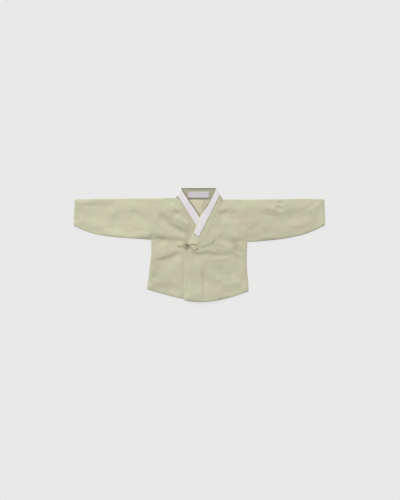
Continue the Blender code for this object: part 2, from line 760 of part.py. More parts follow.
def turn_outward(turn, side):
    """Give the level direction square to a neck turn, away from the neck."""
    run = np.array(turn["foot"]) - np.array(turn["top"])
    return side * np.array((-run[1], run[0])) / np.linalg.norm(run)


def collar_sections(first_row, last_row):
    """List the ribbon's sections: edge points, the turn from face up to face down, and side."""
    outer_read = row_reader(OUTER_COLLAR_ROWS)
    inner_read = row_reader(INNER_COLLAR_ROWS)
    outer_share = smooth_curve(STRIP_SHARES_OUTER)
    inner_share = smooth_curve(STRIP_SHARES_INNER)
    outer_last = len(OUTER_COLLAR_ROWS) - 1
    sections = []

    def add(edge, seam, turn, side, share, out=None):
        sections.append(dict(edge=edge, seam=seam, turn=turn, side=side, share=share, out=out))

    count = int(round((outer_last - first_row) * 2)) + 1
    for number in np.linspace(first_row, outer_last, count):
        edge, seam = outer_read(number)
        add(edge, seam, 0.0, "outer", float(outer_share(number)))
    edge_left, seam_left = outer_read(outer_last)
    edge_right, seam_right = inner_read(0.0)
    left_out = turn_outward(LEFT_TURN, 1.0)
    right_out = turn_outward(RIGHT_TURN, -1.0)
    rise = np.array((0.0, TURN_FOOT_RISE))
    for number, turn in enumerate(TURN_ANGLES, 1):
        add(edge_left, seam_left + rise * number, turn, "back", STRIP_SHARE_BACK, left_out)
    for share in np.linspace(0.0, 1.0, BACK_STEPS)[1:-1]:
        bow = abs(2.0 * share - 1.0) ** BACK_BOW_POWER
        edge = edge_left * (1.0 - share) + edge_right * share
        seam = seam_left * (1.0 - share) + seam_right * share
        seam[1] = COLLAR_SEAM_Y + COLLAR_SEAM_RISE * bow
        add(edge, seam, TURN_ANGLES[-1], "back", STRIP_SHARE_BACK, right_out)
    for number, turn in reversed(list(enumerate(TURN_ANGLES, 1))):
        ratio = number / len(TURN_ANGLES)
        strip_share = STRIP_SHARE_BACK * ratio + float(inner_share(0.0)) * (1.0 - ratio)
        add(edge_right, seam_right + rise * number, turn, "back", strip_share, right_out)
    count = int(round(last_row * 2)) + 1
    for number in np.linspace(0.0, last_row, count):
        edge, seam = inner_read(number)
        add(edge, seam, 0.0, "inner", float(inner_share(number)))
    return sections


def band_height(section, share):
    """Middle height of the band at a share of its width, straight between its own points."""
    rest = outer_under if section["side"] == "outer" else inner_under
    edge, seam = section["edge"], section["seam"]
    own = [float(rest(*(edge + (seam - edge) * step))) for step in BAND_ACROSS]
    return np.interp(share, BAND_ACROSS, own) + LAYER + COLLAR_SLACK + WALL / 2.0


def ribbon(name, sections, across, layer, cloth):
    """Make a folded ribbon. Its layer is 0 for the band and 1 for the strip on the band's face."""
    middle_z = 2.0 * LAYER - SEAM_GAP / 2.0
    radius = LAYER / 2.0 + LAYER * layer
    over = []
    under = []
    for section in sections:
        edge, seam = section["edge"], section["seam"]
        width_share = section["share"] if layer else 1.0
        row_over = []
        row_under = []
        for step in across:
            share = step * width_share
            at = edge + (seam - edge) * share
            if section["side"] == "back":
                angle = math.radians(section["turn"])
                at = at + section["out"] * radius * math.sin(angle)
                centre = np.array((at[0], at[1], middle_z + radius * math.cos(angle)))
                facing = np.array((*(section["out"] * math.sin(angle)), math.cos(angle)))
            else:
                height = band_height(section, share) + (LAYER + STRIP_SLACK) * layer
                centre = np.array((at[0], at[1], height))
                facing = np.array((0.0, 0.0, 1.0))
            row_over.append(centre + facing * WALL / 2.0)
            row_under.append(centre - facing * WALL / 2.0)
        over.append(row_over)
        under.append(row_under)
    wall(name, np.array(over), np.array(under), cloth)


def make_collar():
    """Make the collar band, the white strip on its face, and the label inside the neck."""
    band = collar_sections(0.0, len(INNER_COLLAR_ROWS) - 1.0)
    ribbon("collar", band, BAND_ACROSS, 0, "silk")
    strip = collar_sections(STRIP_FIRST_ROW, STRIP_LAST_ROW)
    ribbon("collar_strip", strip, STRIP_ACROSS, 1, "strip")
    x, y = panel_grid(
        lambda y: LABEL["left"] + 0.0 * y,
        lambda y: LABEL["right"] + 0.0 * y,
        lambda x: LABEL["top"] + 0.0 * x,
        lambda x: LABEL["bottom"] + 0.0 * x,
        *(spaced(count, EVEN) for count in GRIDS["label"]),
    )
    wall("label", *faces_of(x, y, lambda x, y: 2.0 * LAYER + 0.0 * x), "label")


def cord(name, points):
    """Make a closed loop of round cord through points."""
    curve = bpy.data.curves.new(name, "CURVE")
    curve.dimensions = "3D"
    curve.bevel_depth = CORD_RADIUS * METRES
    curve.bevel_resolution = 1
    curve.materials.append(material("cord"))
    line = curve.splines.new("POLY")
    line.points.add(len(points) - 1)
    for knot, point in zip(line.points, points):
        knot.co = (*(METRES * value for value in point), 1.0)
    line.use_cyclic_u = True
    made = bpy.data.objects.new(name, curve)
    bpy.context.collection.objects.link(made)
    return made


def make_knot(band_top):
    """Make the knotted ball, resting on the band's tip."""
    middle = (KNOT["x"], KNOT["y"], band_top + SEAM_GAP + KNOT["half_height"])
    radii = (KNOT["radius"], KNOT["radius"], KNOT["half_height"])
    ball = bmesh.new()
    bmesh.ops.create_uvsphere(ball, u_segments=BALL_SEGMENTS, v_segments=BALL_RINGS, radius=1.0)
    for vertex in ball.verts:
        for axis in range(3):
            vertex.co[axis] = METRES * (middle[axis] + radii[axis] * vertex.co[axis])
    mesh = bpy.data.meshes.new("knot_button")
    ball.to_mesh(mesh)
    ball.free()
    mesh.materials.append(material("cord"))
    mesh.shade_smooth()
    bpy.context.collection.objects.link(bpy.data.objects.new("knot_button", mesh))


def loop_plan():
    """List the loop's points from above: round the knot, along the neck, and round the eye."""
    points = []
    for degrees in np.linspace(-NOOSE["turn"], NOOSE["turn"], NOOSE_POINTS):
        angle = math.radians(degrees)
        x = KNOT["x"] + NOOSE["radius"] * math.cos(angle)
        points.append((x, KNOT["y"] + NOOSE["radius"] * math.sin(angle)))
    points += [(x, middle + half) for x, middle, half in NECK_ROWS]
    for degrees in np.linspace(EYE["open"], 360.0 - EYE["open"], EYE_POINTS):
        angle = math.radians(degrees)
        x = EYE["x"] + EYE["half_length"] * math.cos(angle)
        points.append((x, EYE["y"] + EYE["half_width"] * math.sin(angle)))
    points += [(x, middle - half) for x, middle, half in reversed(NECK_ROWS)]
    return points


def make_button():
    """Make the knotted ball, the loop round it and the tail loop that holds it."""
    band_top = float(outer_under(KNOT["x"] + NOOSE["radius"], KNOT["y"])) + LAYER + COLLAR_SLACK + WALL
    make_knot(band_top)
    cord_rest = LAYER + CORD_SLACK + CORD_RADIUS
    high = band_top + SEAM_GAP + CORD_RADIUS
    path = []
    for x, y in loop_plan():
        low = float(inner_under(x, y)) + cord_rest
        path.append((x, y, low + (high - low) * float(ramp(x, CLIMB))))
    cord("button_loop", path)

    path = []
    tilt = math.radians(TAIL["tilt"])
    for degrees in np.linspace(0.0, 360.0, TAIL_POINTS + 1)[:-1]:
        angle = math.radians(degrees)
        along = TAIL["half_length"] * math.cos(angle)
        aside = TAIL["half_width"] * math.sin(angle)
        x = TAIL["x"] + along * math.cos(tilt) - aside * math.sin(tilt)
        y = TAIL["y"] + along * math.sin(tilt) + aside * math.cos(tilt)
        tip = smooth_step((-math.cos(angle) - TAIL_TIP_START) / (1.0 - TAIL_TIP_START))
        x += (TAIL_TIP_X - x) * tip
        path.append((x, y, float(outer_under(x, y)) + LAYER + COLLAR_SLACK + cord_rest))
    cord("button_tail", path)


def main():
    """Build the whole jacket."""
    for leftover in list(bpy.data.objects):
        bpy.data.objects.remove(leftover, do_unlink=True)
    make_back()
    make_fronts()
    make_sleeve("sleeve_right", RIGHT_UNDERARM, RIGHT_CUFF_TOP_X, right_side_x, -1.0)
    make_sleeve("sleeve_left", LEFT_UNDERARM, LEFT_CUFF_TOP_X, left_side_x, 1.0)
    make_collar()
    make_button()


main()
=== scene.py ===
"""The child's korean jacket, dressed: thin silk panels, collar, sewing, knotted closure, light.

Sizes are in millimetres and become metres where a mesh is made. X runs along the sleeves
towards the wearer's left, Y runs from the hem to the collar, and Z is up from the floor.
"""
import math

import bmesh
import bpy
import numpy as np
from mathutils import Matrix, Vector


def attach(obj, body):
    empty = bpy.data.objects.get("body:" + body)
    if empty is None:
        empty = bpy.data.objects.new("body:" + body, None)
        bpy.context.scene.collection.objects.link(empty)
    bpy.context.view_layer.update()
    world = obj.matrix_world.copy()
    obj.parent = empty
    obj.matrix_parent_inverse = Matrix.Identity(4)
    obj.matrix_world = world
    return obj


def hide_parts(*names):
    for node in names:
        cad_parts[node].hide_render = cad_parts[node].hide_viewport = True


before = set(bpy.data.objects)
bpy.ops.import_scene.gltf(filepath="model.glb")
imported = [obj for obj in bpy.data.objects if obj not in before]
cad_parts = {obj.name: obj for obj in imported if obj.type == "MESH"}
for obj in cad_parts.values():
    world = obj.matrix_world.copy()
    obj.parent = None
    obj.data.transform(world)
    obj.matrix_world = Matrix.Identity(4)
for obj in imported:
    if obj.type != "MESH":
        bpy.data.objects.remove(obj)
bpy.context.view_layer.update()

METRES = 0.001
ROUND = 2.0 * math.pi

# Cloth and seams
WALL = 1.0
SEAM_GAP = 0.3
HALF_GAP = SEAM_GAP / 2.0
LAYER = WALL + SEAM_GAP
SLACK = 0.6
LAP_SLACK = 0.3
COLLAR_LAP = 1.7
COLLAR_SLACK = 0.35
STRIP_SLACK = 0.3

# Whole garment
SPAN = 720.0
CENTRE_BACK_X = 1.3
BACK_EDGE_INSET = 1.6
CROWN = 3.4
FOLD_FADE = 10.0
PRESSED_SHARE = 0.6
FOLD_END_LEVEL = 0.1
FOLD_END_SHARE = 0.25
BLOCK = 4000
SAME_POINT = 0.01

# Where a change of height starts, measured from an edge, and how far it runs
CROWN_RISE = (-6, 44)
FOLDS_END = (-20, 14)
PRESS = (2, 16)
LAP_EDGE = (0, 15)
PANEL_END = (2, 46)
COLLAR_END = (2.5, 8)
UNDER_END = (2, 4)

# Shoulder and sleeve top edge: x, y
SHOULDER_ROWS = [
    (-357.1, 132.6), (-285, 133.8), (-199, 135.1), (-140.8, 136.3), (-84.7, 136.5), (-69.2, 135.7),
    (66.9, 132.5), (141.1, 132.2), (345, 133.4), (357.7, 133.1),
]
ARMHOLE_ROW = 3
# Armhole seam and then side seam of the body: y, x
RIGHT_SIDE_ROWS = [
    (135.4, -140.8), (15, -138.5), (-13, -138), (-41.7, -140.2), (-70.3, -143.4), (-99, -146.8),
    (-113.3, -149.4), (-127.6, -151.1),
]
LEFT_SIDE_ROWS = [
    (132.2, 141.1), (8.5, 137.1), (-41.7, 135.7), (-70.3, 136.5), (-99, 139.4), (-132.8, 141.1),
]
RIGHT_ARMPIT_Y = 15.0
LEFT_ARMPIT_Y = 8.5
# Curved sleeve undersides: rise from armpit to cuff is a straight part and a late sweep
RIGHT_UNDERARM = dict(x=-138.5, y=16.4, straight=14.3, sweep=26.4, power=4.4)
LEFT_UNDERARM = dict(x=137.1, y=9.4, straight=15.7, sweep=33.8, power=3.5)
RIGHT_CUFF_TOP_X = -357.1
LEFT_CUFF_TOP_X = 357.7
# Hems: lowest point, half width, rise at the corner and the power of the curve
OUTER_HEM = dict(x=4.2, y=-162.6, reach=137.0, rise=31.8, power=1.7)
INNER_HEM = dict(x=-21.6, y=-157.2, reach=129.0, rise=32.1, power=1.24)
BACK_HEM = dict(x=1.3, y=-158.2, reach=145.0, rise=32.0, power=1.35)

# Free front edge and the gusset (seop) seam of the outer front: y, x
FRONT_EDGE_ROWS = [(8, -36.9), (-47.4, -38.8), (-158, -43.4), (-170, -43.9)]
OUTER_NECK_ROWS = [
    (132.5, 66.6), (124, 61), (104.5, 47.5), (81.7, 38), (61, 27.5), (36.8, 15), (18, 6), (5, -3),
]
OUTER_SEAM = dict(top=(-3.0, 5.0), low=(20.7, -170.0))
OUTER_SEOP_TOP_ROWS = [(-37, 0.5), (-20, 1), (-3, 5)]
# The same for the inner front, hidden but for its neck: y, x
INNER_NECK_ROWS = [
    (135.7, -68.9), (126, -56.5), (100, -39.2), (70, -21.6), (40, -4.1), (22, 5.4), (8, 8),
]
INNER_SEAM = dict(top=(8.0, 8.0), low=(-20.4, -170.0))
INNER_EDGE_ROWS = [(35, 36), (-6, 37.1), (-158, 43.4)]
INNER_SEOP_TOP_ROWS = [(2, 8), (8, 8.5), (20, 19), (37, 31)]
# Where the inner front ends beneath the outer one, and where it comes into sight: y, x
INNER_REACH_ROWS = [(164.6, -53.1), (95, -6.8), (27.1, 38.5), (-6, 40), (-160, 44)]
INNER_SEEN_ROWS = [(82.1, 2.1), (35.7, -17.3), (2.7, -36.5), (-47.4, -38.8), (-158, -43.4)]

# Collar band, from the tip on the outer front up to the turn at the neck:
# inner edge x, y and outer edge x, y
OUTER_COLLAR_ROWS = [
    (-36.5, 2.7, -34.2, -8.5), (-33.5, 8, -20.2, -7.9), (-27.5, 18, -4.4, -1.6),
    (-17.3, 35.7, 13, 15.5), (-7.8, 58, 21.4, 37.6), (2.1, 82.1, 32.8, 61.8),
    (14.8, 102.1, 44.8, 82.2), (27, 122.2, 55, 104.7), (38.2, 143.4, 61.6, 120),
    (46.9, 163.4, 65.2, 132.6),
]
# The inner front's band, from the turn down to its hidden tip
INNER_COLLAR_ROWS = [
    (-51.2, 163.4, -67.3, 135.2), (-41, 146.4, -60.5, 120.6), (-29.5, 129.2, -50.2, 103),
    (-18, 111.9, -39.6, 84.9), (-6.5, 94.7, -28.8, 66.4), (5, 77.4, -18, 48),
    (16.5, 60.1, -7.3, 29.7), (28, 42.9, 0.5, 15.5), (34.5, 33.1, 7, 3.5),
    (38, 26.5, 21, 4.5), (38.8, 20, 33, 11),
]
COLLAR_SEAM_Y = 131.2
COLLAR_SEAM_RISE = 3.4
LEFT_TURN = dict(top=(48.8, 164.6), foot=(66.9, 132.5))
RIGHT_TURN = dict(top=(-53.1, 164.6), foot=(-69.2, 135.7))

# White strip: where it starts and ends on the band's rows, and its share of the band's width
# as row, share
STRIP_FIRST_ROW = 3.0
STRIP_LAST_ROW = 6.5
STRIP_SHARES_OUTER = [(3, 0.53), (4, 0.58), (5, 0.62), (6, 0.57), (7, 0.54), (9, 0.6)]
STRIP_SHARES_INNER = [(0, 0.78), (1, 0.63), (2, 0.67), (3, 0.66), (10, 0.66)]
STRIP_SHARE_BACK = 0.6
LEVEL_TURN = 45.0
UPRIGHT_TURN = 90.0
FULL_TURN = 180.0
TURN_FOOT_RISE = 0.3
BAND_ACROSS = (0.0, 0.25, 0.5, 0.75, 1.0)

LABEL = dict(left=-31.5, right=27.1, top=153.1, bottom=136.5)
# The lining's top and bottom, and its left and right edges as y, x
LINING_ENDS = (130.8, 68.0)
LINING_LEFT_ROWS = [(130.8, -50), (108, -32), (86, -18), (68, -6)]
LINING_RIGHT_ROWS = [(130.8, 50), (108, 36), (86, 22), (68, 10)]

# Knotted button and its cords. The loop goes round the knot, draws together in a neck and
# opens again in an eye. Neck rows: x, middle y, half the distance between the two cords.
CORD_RADIUS = 1.0
KNOT = dict(x=-36.8, y=2.8, radius=4.6, half_height=3.8)
NOOSE = dict(radius=6.2, turn=118.0)
NECK_ROWS = [(-44.0, 1.9, 3.0), (-48.0, 0.9, 1.3), (-52.0, 0.2, 1.5)]
EYE = dict(x=-58.2, y=-0.4, half_length=4.8, half_width=3.4, open=52.0)
CLIMB = (-51, 10)
TAIL = dict(x=-15.8, y=-2.4, half_length=10.8, half_width=7.2, tilt=-14.0)
TAIL_TIP_X = -27.6
TAIL_PULL = (0.8, 0.2)

# Folds: height of the crest, or of the trough if below zero, width of the side on the left when
# walking along the path, width of the other side, and the path
INNER_FOLDS = [
    (-3.2, 9, 13, (-124, 90), (-103, 76), (-83, 58), (-34, 29)),
    (-1.3, 4.5, 12, (-77, 98), (-66, 94), (-55, 87)),
    (1.2, 6, 6, (-72, 82), (-46, 68), (-24, 57)),
    (-3.2, 12, 20, (-141, 16), (-119, 15), (-90, 15)),
    (-1.9, 11, 17, (-98, 14), (-62, 11), (-42, 4)),
    (-3, 8, 21, (-146, -57), (-84, -37), (-68, -29), (-44, -22)),
    (-1.8, 8, 14, (-130, -104), (-121, -78), (-116, -50)),
    (0.9, 16, 16, (-60, -60), (-88, -92), (-112, -118)),
]
OUTER_FOLDS = [
    (-2, 7, 17, (53, 90), (70, 92), (89, 99)),
    (-1.7, 5, 14, (-28, -19), (-4, -25), (24, -24), (52, -27)),
    (-1.5, 8, 24, (32, -30), (62, -29), (92, -26), (112, -22)),
    (-2.2, 13, 8, (50, 28), (73, 13), (96, 5), (112, -8)),
    (-2.6, 17, 7, (113, -26), (118, -4), (116, 18)),
    (-1.1, 4.5, 12, (15, -150), (12, -100), (8, -68)),
    (1.1, 12, 8, (9, -76), (34, -90), (64, -108)),
    (0.9, 12, 16, (60, 62), (92, 62), (120, 56)),
    (0.9, 16, 16, (70, -60), (92, -92), (104, -124)),
]
SLEEVE_FOLDS = [
    (-1.8, 10, 24, (-353, 108), (-313, 108), (-272, 111), (-232, 114)),
    (0.5, 9, 9, (-208, 114), (-184, 118), (-163, 115)),
    (-1.1, 8, 14, (-200, 102), (-180, 90), (-162, 78), (-146, 64)),
    (-0.9, 7, 12, (-234, 34), (-240, 66), (-247, 92)),
    (0.9, 17, 17, (-334, 62), (-297, 56), (-264, 56)),
    (1.5, 9, 7, (-184, 30), (-160, 27), (-136, 23)),
    (-0.9, 16, 24, (170, 90), (208, 80), (252, 82), (316, 100)),
    (1, 9, 9, (184, 110), (202, 108), (220, 102)),
    (-2.1, 4, 6, (224, 129), (231, 122), (240, 119)),
    (-1.9, 4.5, 7, (222, 112), (232, 106), (244, 106)),
    (0.9, 15, 15, (236, 52), (278, 54), (322, 66)),
    (1.2, 8, 6, (170, 24), (198, 22), (222, 26)),
    (-0.9, 9, 9, (142, 36), (158, 50), (184, 58)),
]
# Finer creases, on top of the largest folds
FINE_INNER = [
    (-1.1, 3.4, 5, (-138, 13), (-114, 15), (-88, 14)),
    (-0.6, 3, 3, (-70, 15), (-50, 13), (-36, 9)),
    (0.5, 4, 4, (-84, 118), (-64, 104), (-52, 96)),
    (-0.5, 4, 4, (-108, 92), (-84, 74), (-66, 60)),
    (-0.5, 4.5, 4.5, (-58, 40), (-46, 30), (-42, 16)),
    (0.5, 6, 6, (-124, 4), (-104, 0), (-84, -4)),
    (-0.5, 5, 5, (-118, -84), (-106, -112), (-102, -132)),
    (-0.4, 6, 6, (-84, -70), (-72, -104)),
    (0.4, 5, 5, (-62, -34), (-58, -70), (-62, -100)),
    (-0.5, 3.6, 3.6, (-55, -24), (-49, -48), (-48, -72)),
]
FINE_OUTER = [
    (-0.6, 3.6, 3.6, (92, 94), (104, 92)),
    (0.6, 4, 4, (-24, -16), (-4, -21), (20, -20)),
    (0.7, 5, 5, (34, -40), (62, -40), (90, -37)),
    (-1.2, 12, 5, (106, -20), (111, 0), (107, 18)),
    (0.5, 3, 3, (-20, -14), (-6, -16)),
    (0.5, 3.6, 3.6, (4, -14), (22, -11), (36, -12)),
    (-0.5, 4, 4, (112, 30), (114, 4), (108, -14)),
    (-0.5, 4, 4, (94, 20), (118, 12), (134, 14)),
    (-0.5, 4, 4, (13, -60), (17, -90), (18, -120)),
    (0.4, 4.5, 4.5, (46, -72), (58, -98), (84, -122)),
    (-0.4, 6, 6, (96, -40), (104, -76), (118, -108)),
    (0.4, 6, 6, (120, -20), (126, -52), (124, -88)),
]
FINE_SLEEVES = [
    (-0.6, 3.6, 3.6, (-342, 117), (-318, 114), (-292, 116)),
    (-0.3, 3.4, 3.4, (-192, 96), (-172, 84), (-152, 68)),
    (-0.6, 2.6, 2.6, (-160, 106), (-152, 102)),
    (-0.7, 2.8, 2.8, (-162, 29), (-150, 28), (-139, 28)),
    (-0.4, 5, 5, (-222, 62), (-214, 40)),
    (-0.4, 6, 6, (-322, 44), (-300, 36), (-270, 34)),
    (-0.7, 4, 4, (178, 92), (206, 83), (232, 83)),
    (-0.6, 4, 4, (296, 100), (316, 110), (328, 116)),
    (-0.6, 2.6, 2.6, (229, 127), (234, 122)),
    (-0.6, 2.6, 2.6, (330, 128), (336, 122)),
    (-0.5, 3, 3, (139, 126), (146, 120)),
    (-0.4, 6, 6, (250, 50), (286, 46), (312, 54)),
    (-0.4, 5, 5, (170, 48), (190, 42), (206, 44)),
]
# Shallow creases pressed into the cloth beneath
BACK_CREASES = [
    (0.5, 7, 7, (-110, 96), (-74, 74), (-46, 66)),
    (0.45, 6, 6, (-126, 10), (-92, 20), (-58, 14)),
    (0.4, 8, 8, (-104, -48), (-76, -30), (-40, -26)),
    (0.4, 6, 6, (-40, 104), (-28, 84), (-24, 60)),
    (0.45, 7, 7, (96, 100), (70, 82), (42, 74)),
    (0.5, 6, 6, (120, 4), (92, 16), (64, 12)),
    (0.4, 8, 8, (24, -34), (60, -28), (96, -46)),
    (0.35, 7, 7, (46, -70), (58, -104), (50, -132)),
    (0.35, 7, 7, (-66, -72), (-74, -108), (-70, -136)),
    (0.4, 9, 9, (-164, 96), (-200, 84), (-246, 82)),
    (0.45, 6, 6, (-160, 40), (-186, 46), (-214, 44)),
    (0.35, 10, 10, (-270, 100), (-304, 96), (-336, 100)),
    (0.4, 9, 9, (160, 92), (196, 80), (244, 84)),
    (0.45, 6, 6, (160, 32), (190, 40), (216, 38)),
    (0.35, 10, 10, (266, 102), (300, 94), (336, 98)),
]
LINING_CREASES = [
    (1.1, 8, 17, (-20, 140), (-13, 126), (-3, 102), (1, 84)),
    (0.7, 3.4, 3.4, (6.5, 130), (6, 100), (5, 72)),
    (-0.5, 3, 3, (-8, 130), (-4, 112), (-1, 96)),
    (-0.4, 4, 4, (22, 130), (17, 112), (12, 98)),
]
# Slow unevenness of the cloth: wavelength, direction in degrees, height and phase
WAVES = [
    (86, 24, 0.28, 0.4), (61, 112, 0.22, 2.1), (47, 68, 0.16, 4.0),
    (37, 154, 0.12, 1.2), (27, 41, 0.08, 5.3), (19, 97, 0.05, 3.4),
]
WAVE_BEND = dict(height=0.9, scale=2.3, phase=1.7)
DETAIL_FADE = 7.0
SEAM_FADE = 3.0
BACK_FADE = 5.0
BESIDE_BAND = (0.5, 7)
HOLLOW_LIMIT = 0.6
PRESSED_RIPPLE = dict(share=0.35, above=0.15)

# Seams: depth and width of the dip, and height, reach and pitch of the puckers beside it
SEAM_DIP = dict(depth=0.22, width=1.7)
PUCKER = dict(height=0.2, reach=5.0, pitch=6.7, drift=23.0, drift_by=1.4, swell=41.0, least=0.1)
# How far along its beat each seam starts, so that no two pucker alike
SEAM_STARTS = dict(left=17.0, neck=5.0, sleeve=9.0)
EDGE_SINK = dict(reach=3.0, face=0.6, back=0.15)
# Seam allowance that keeps hems and sleeve undersides full right up to the edge
FULL_EDGE = dict(height=0.9, reach=16.0, side=10.0)
# Pressed free edge of the outer front: rounded edge, stitch groove behind it, hollow beside it
FREE_EDGE = dict(drop=0.6, reach=1.7, groove=0.5, groove_at=5.6, hollow=0.9, hollow_at=-3.8, width=2.2)
HOLLOW_START = (0, 30)
COVER_MARGIN = 4.0

# How a closed seam edge rounds down to the floor, from the panel outwards: outer face inset
# and height, inner face inset and height
CURL_START = 2.4
CURL_STEPS = (0.0, 0.35, 0.7, 1.1, 1.5, 1.9)
CURL_ROWS = [
    (1.7, 2.15, 2.1, 1.45), (0.95, 1.92, 1.75, 1.25), (0.35, 1.58, 1.4, 1.08),
    (0.05, 1.15, 1.18, 0.85), (0.06, 0.6, 1.14, 0.5), (0.3, 0.12, 1.12, 0.14),
]
CENTRE_SEAM = dict(height=0.35, width=1.2, limit=0.65)
LINING_SOFT = dict(height=0.25, share=0.5, scale=1.6)
# Points across and down each panel's grid, and round the upper layer and along a sleeve
FRONT_GRID = (64, 118)
INNER_SEOP_GRID = (14, 48)
OUTER_SEOP_GRID = (40, 72)
BACK_GRID = (48, 96)
LINING_GRID = (64, 44)
LABEL_GRID = (40, 14)
SLEEVE_GRID = (46, 92)
GRID_ROUNDS = 16
SEOP_EDGE_POWER = 1.35
PANEL_LENGTH = 285.0
PANEL_WIDTH = 130.0
ARMPIT_RUN = 4.0
RIM_BULGE = 0.32
LEAST_RIM = 0.02
# The rounded edges of a sleeve, in the same way. A free height is that of the resting cloth.
FREE = math.nan
SLEEVE_RIM_HIGH = [
    (0, 1.1, 1, 1.1), (0.1, 1.4, 1.05, 1.14), (0.4, 1.68, 1.15, 1.2), (0.9, 1.93, 1.4, 1.3),
    (1.7, FREE, 1.9, FREE),
]
SLEEVE_RIM_FULL = [
    (0, 1.1, 1, 1.1), (0.1, 1.5, 1.05, 1.2), (0.4, 2, 1.15, 1.35), (0.9, 2.55, 1.4, 1.75),
    (1.7, FREE, 1.9, FREE),
]
SLEEVE_RIM_LOW = [(1.5, 0, 1.7, 1), (0.9, 0.08, 1.4, 1.02), (0.4, 0.32, 1.15, 1.08), (0.1, 0.72, 1.05, 1.12)]
SLEEVE_FLOOR = (0.96, 0.04, 24)
BACK_NECK = (36, 12)
BACK_NECK_Y = 136.5
BACK_SIDE = (-26, 14)
BACK_COLLAR_RISE = 2.6
COLLAR_TILT_POWER = 1.2

BAND_PAD = 0.45
# The band's lower end is flat, where the closure lies on it
BAND_FLAT = (8, 30)
# How the band's sewn edge rolls down onto the panel: reach, drop of the face and of the back
EDGE_ROLL = dict(reach=7.5, face=1.3, back=0.6)
# The strip stops short of the band's inner edge, where the silk has painted shade for the crevice
# beside the strip, as it has at the seam behind the neck
STRIP_INSET = 2.1
BAND_SHADE = dict(reach=2.6, edge=0.75, seam=0.45)
BAND_SHADED = (85, 30)
# Painted light: the band on the outer front is made lighter, where light catches its face
BAND_PAINTED_LIGHT = 0.13
BAND_PAD_POWER = 0.7
BAND_POINTS = 25
STRIP_POINTS = 11
BACK_RISE_SHARE = 0.12
SEAM_BOW_POWER = 6
# The label's own soft waves, and the sewing: length, pitch, radius and lift of the threads
LABEL_SOFT = dict(height=0.12, wave=0.1, length=9.0, cross=0.08, cross_length=4.0, slant=13.0)
LABEL_INSET = 1.1
LABEL_SEWING = (1.5, 2.6, 0.16, 0.12)
STRIP_SEWING = (0.9, 5.2, 0.13, 0.1)
THREAD_END = 0.35

# Slow lights and darks in the silk's colour, partly its own uneven tone and partly painted shade and painted
# light: x, y, reach along x and along y, and strength
TONES_AND_PAINTED_SHADE_AND_LIGHT = [
    (-136, 22, 24, 6, -0.24), (-98, 21, 20, 7, -0.17), (-300, 54, 48, 16, 0.08),
    (-42, 13, 11, 10, -0.22), (-118, -100, 24, 16, -0.05), (90, 40, 44, 16, 0.06),
    (120, -44, 9, 30, 0.05), (325, 130, 26, 9, -0.07), (0, -132, 122, 17, 0.12),
    (-250, 38, 118, 20, 0.16), (300, 44, 66, 18, 0.08), (106, -9, 14, 16, -0.22),
    (104, 26, 16, 9, 0.09), (-34, 38, 9, 22, -0.12), (-62, 44, 34, 12, -0.07),
    (56, -52, 62, 20, -0.06), (-170, 94, 66, 14, 0.07), (-10, 117, 9, 17, 0.06),
    (17, 108, 8, 26, -0.09), (-205, 46, 66, 28, 0.09), (-291, 60, 44, 20, 0.06),
    (-119, -80, 28, 36, -0.09), (63, 130, 6, 12, -0.15), (96, 106, 40, 22, -0.04),
    (24, -102, 22, 26, -0.04), (98, -116, 32, 18, 0.08), (245, 104, 70, 26, -0.08),
    (348, 84, 16, 40, 0.07), (44, -27, 42, 6, -0.07), (-142, 46, 22, 13, 0.08),
    (-88, -134, 32, 9, 0.06),
]


def smooth_step(value):
    """Rise from 0 to 1 with level ends."""
    value = np.clip(value, 0.0, 1.0)
    return value * value * (3.0 - 2.0 * value)


def ramp(value, place):
    """Rise from 0 to 1 over a place's run, from its start."""
    start, run = place
    return smooth_step((value - start) / run)


def bell(value, width):
    """Fall from 1 to 0 on both sides of 0."""
    return np.exp(-(value / width) ** 2)


def smooth_curve(rows):
    """Give a function that runs smoothly through rows of (place, value)."""
    places, values = np.array(sorted(rows), dtype=float).T
    slopes = np.gradient(values, places)

    def curve(place):
        place = np.clip(place, places[0], places[-1])
        low = np.clip(np.searchsorted(places, place) - 1, 0, len(places) - 2)
        step = places[low + 1] - places[low]
        share = (place - places[low]) / step
        ease = smooth_step(share)
        start_bend = share * (1.0 - share) ** 2 * step * slopes[low]
        end_bend = share * share * (share - 1.0) * step * slopes[low + 1]
        return values[low] * (1.0 - ease) + values[low + 1] * ease + start_bend + end_bend

    return curve


def neck_and_seam_x(neck_rows, seam):
    """Give a front's edge towards the middle: the neck curve, then the straight gusset seam."""
    neck = smooth_curve(neck_rows)
    (top_x, top_y), (low_x, low_y) = seam["top"], seam["low"]

    def edge_x(y):
        straight = top_x + (top_y - y) * (low_x - top_x) / (top_y - low_y)
        return np.where(y > top_y, neck(y), straight)

    return edge_x


shoulder_y = smooth_curve(SHOULDER_ROWS)
right_side_x = smooth_curve(RIGHT_SIDE_ROWS)
left_side_x = smooth_curve(LEFT_SIDE_ROWS)
front_edge_x = smooth_curve(FRONT_EDGE_ROWS)
inner_edge_x = smooth_curve(INNER_EDGE_ROWS)
inner_reach_x = smooth_curve(INNER_REACH_ROWS)
visible_inner_x = smooth_curve(INNER_SEEN_ROWS)
outer_neck_x = neck_and_seam_x(OUTER_NECK_ROWS, OUTER_SEAM)
inner_neck_x = neck_and_seam_x(INNER_NECK_ROWS, INNER_SEAM)


def underarm_y(x, arm):
    """Height of a sleeve's lower edge at x."""
    share = np.clip(abs(x - arm["x"]) / (SPAN / 2.0 - abs(arm["x"])), 0.0, 1.0)
    return arm["y"] + arm["straight"] * share + arm["sweep"] * share ** arm["power"]


def hem_y(x, hem):
    """Height of a curved hem at x."""
    return hem["y"] + hem["rise"] * (abs(x - hem["x"]) / hem["reach"]) ** hem["power"]


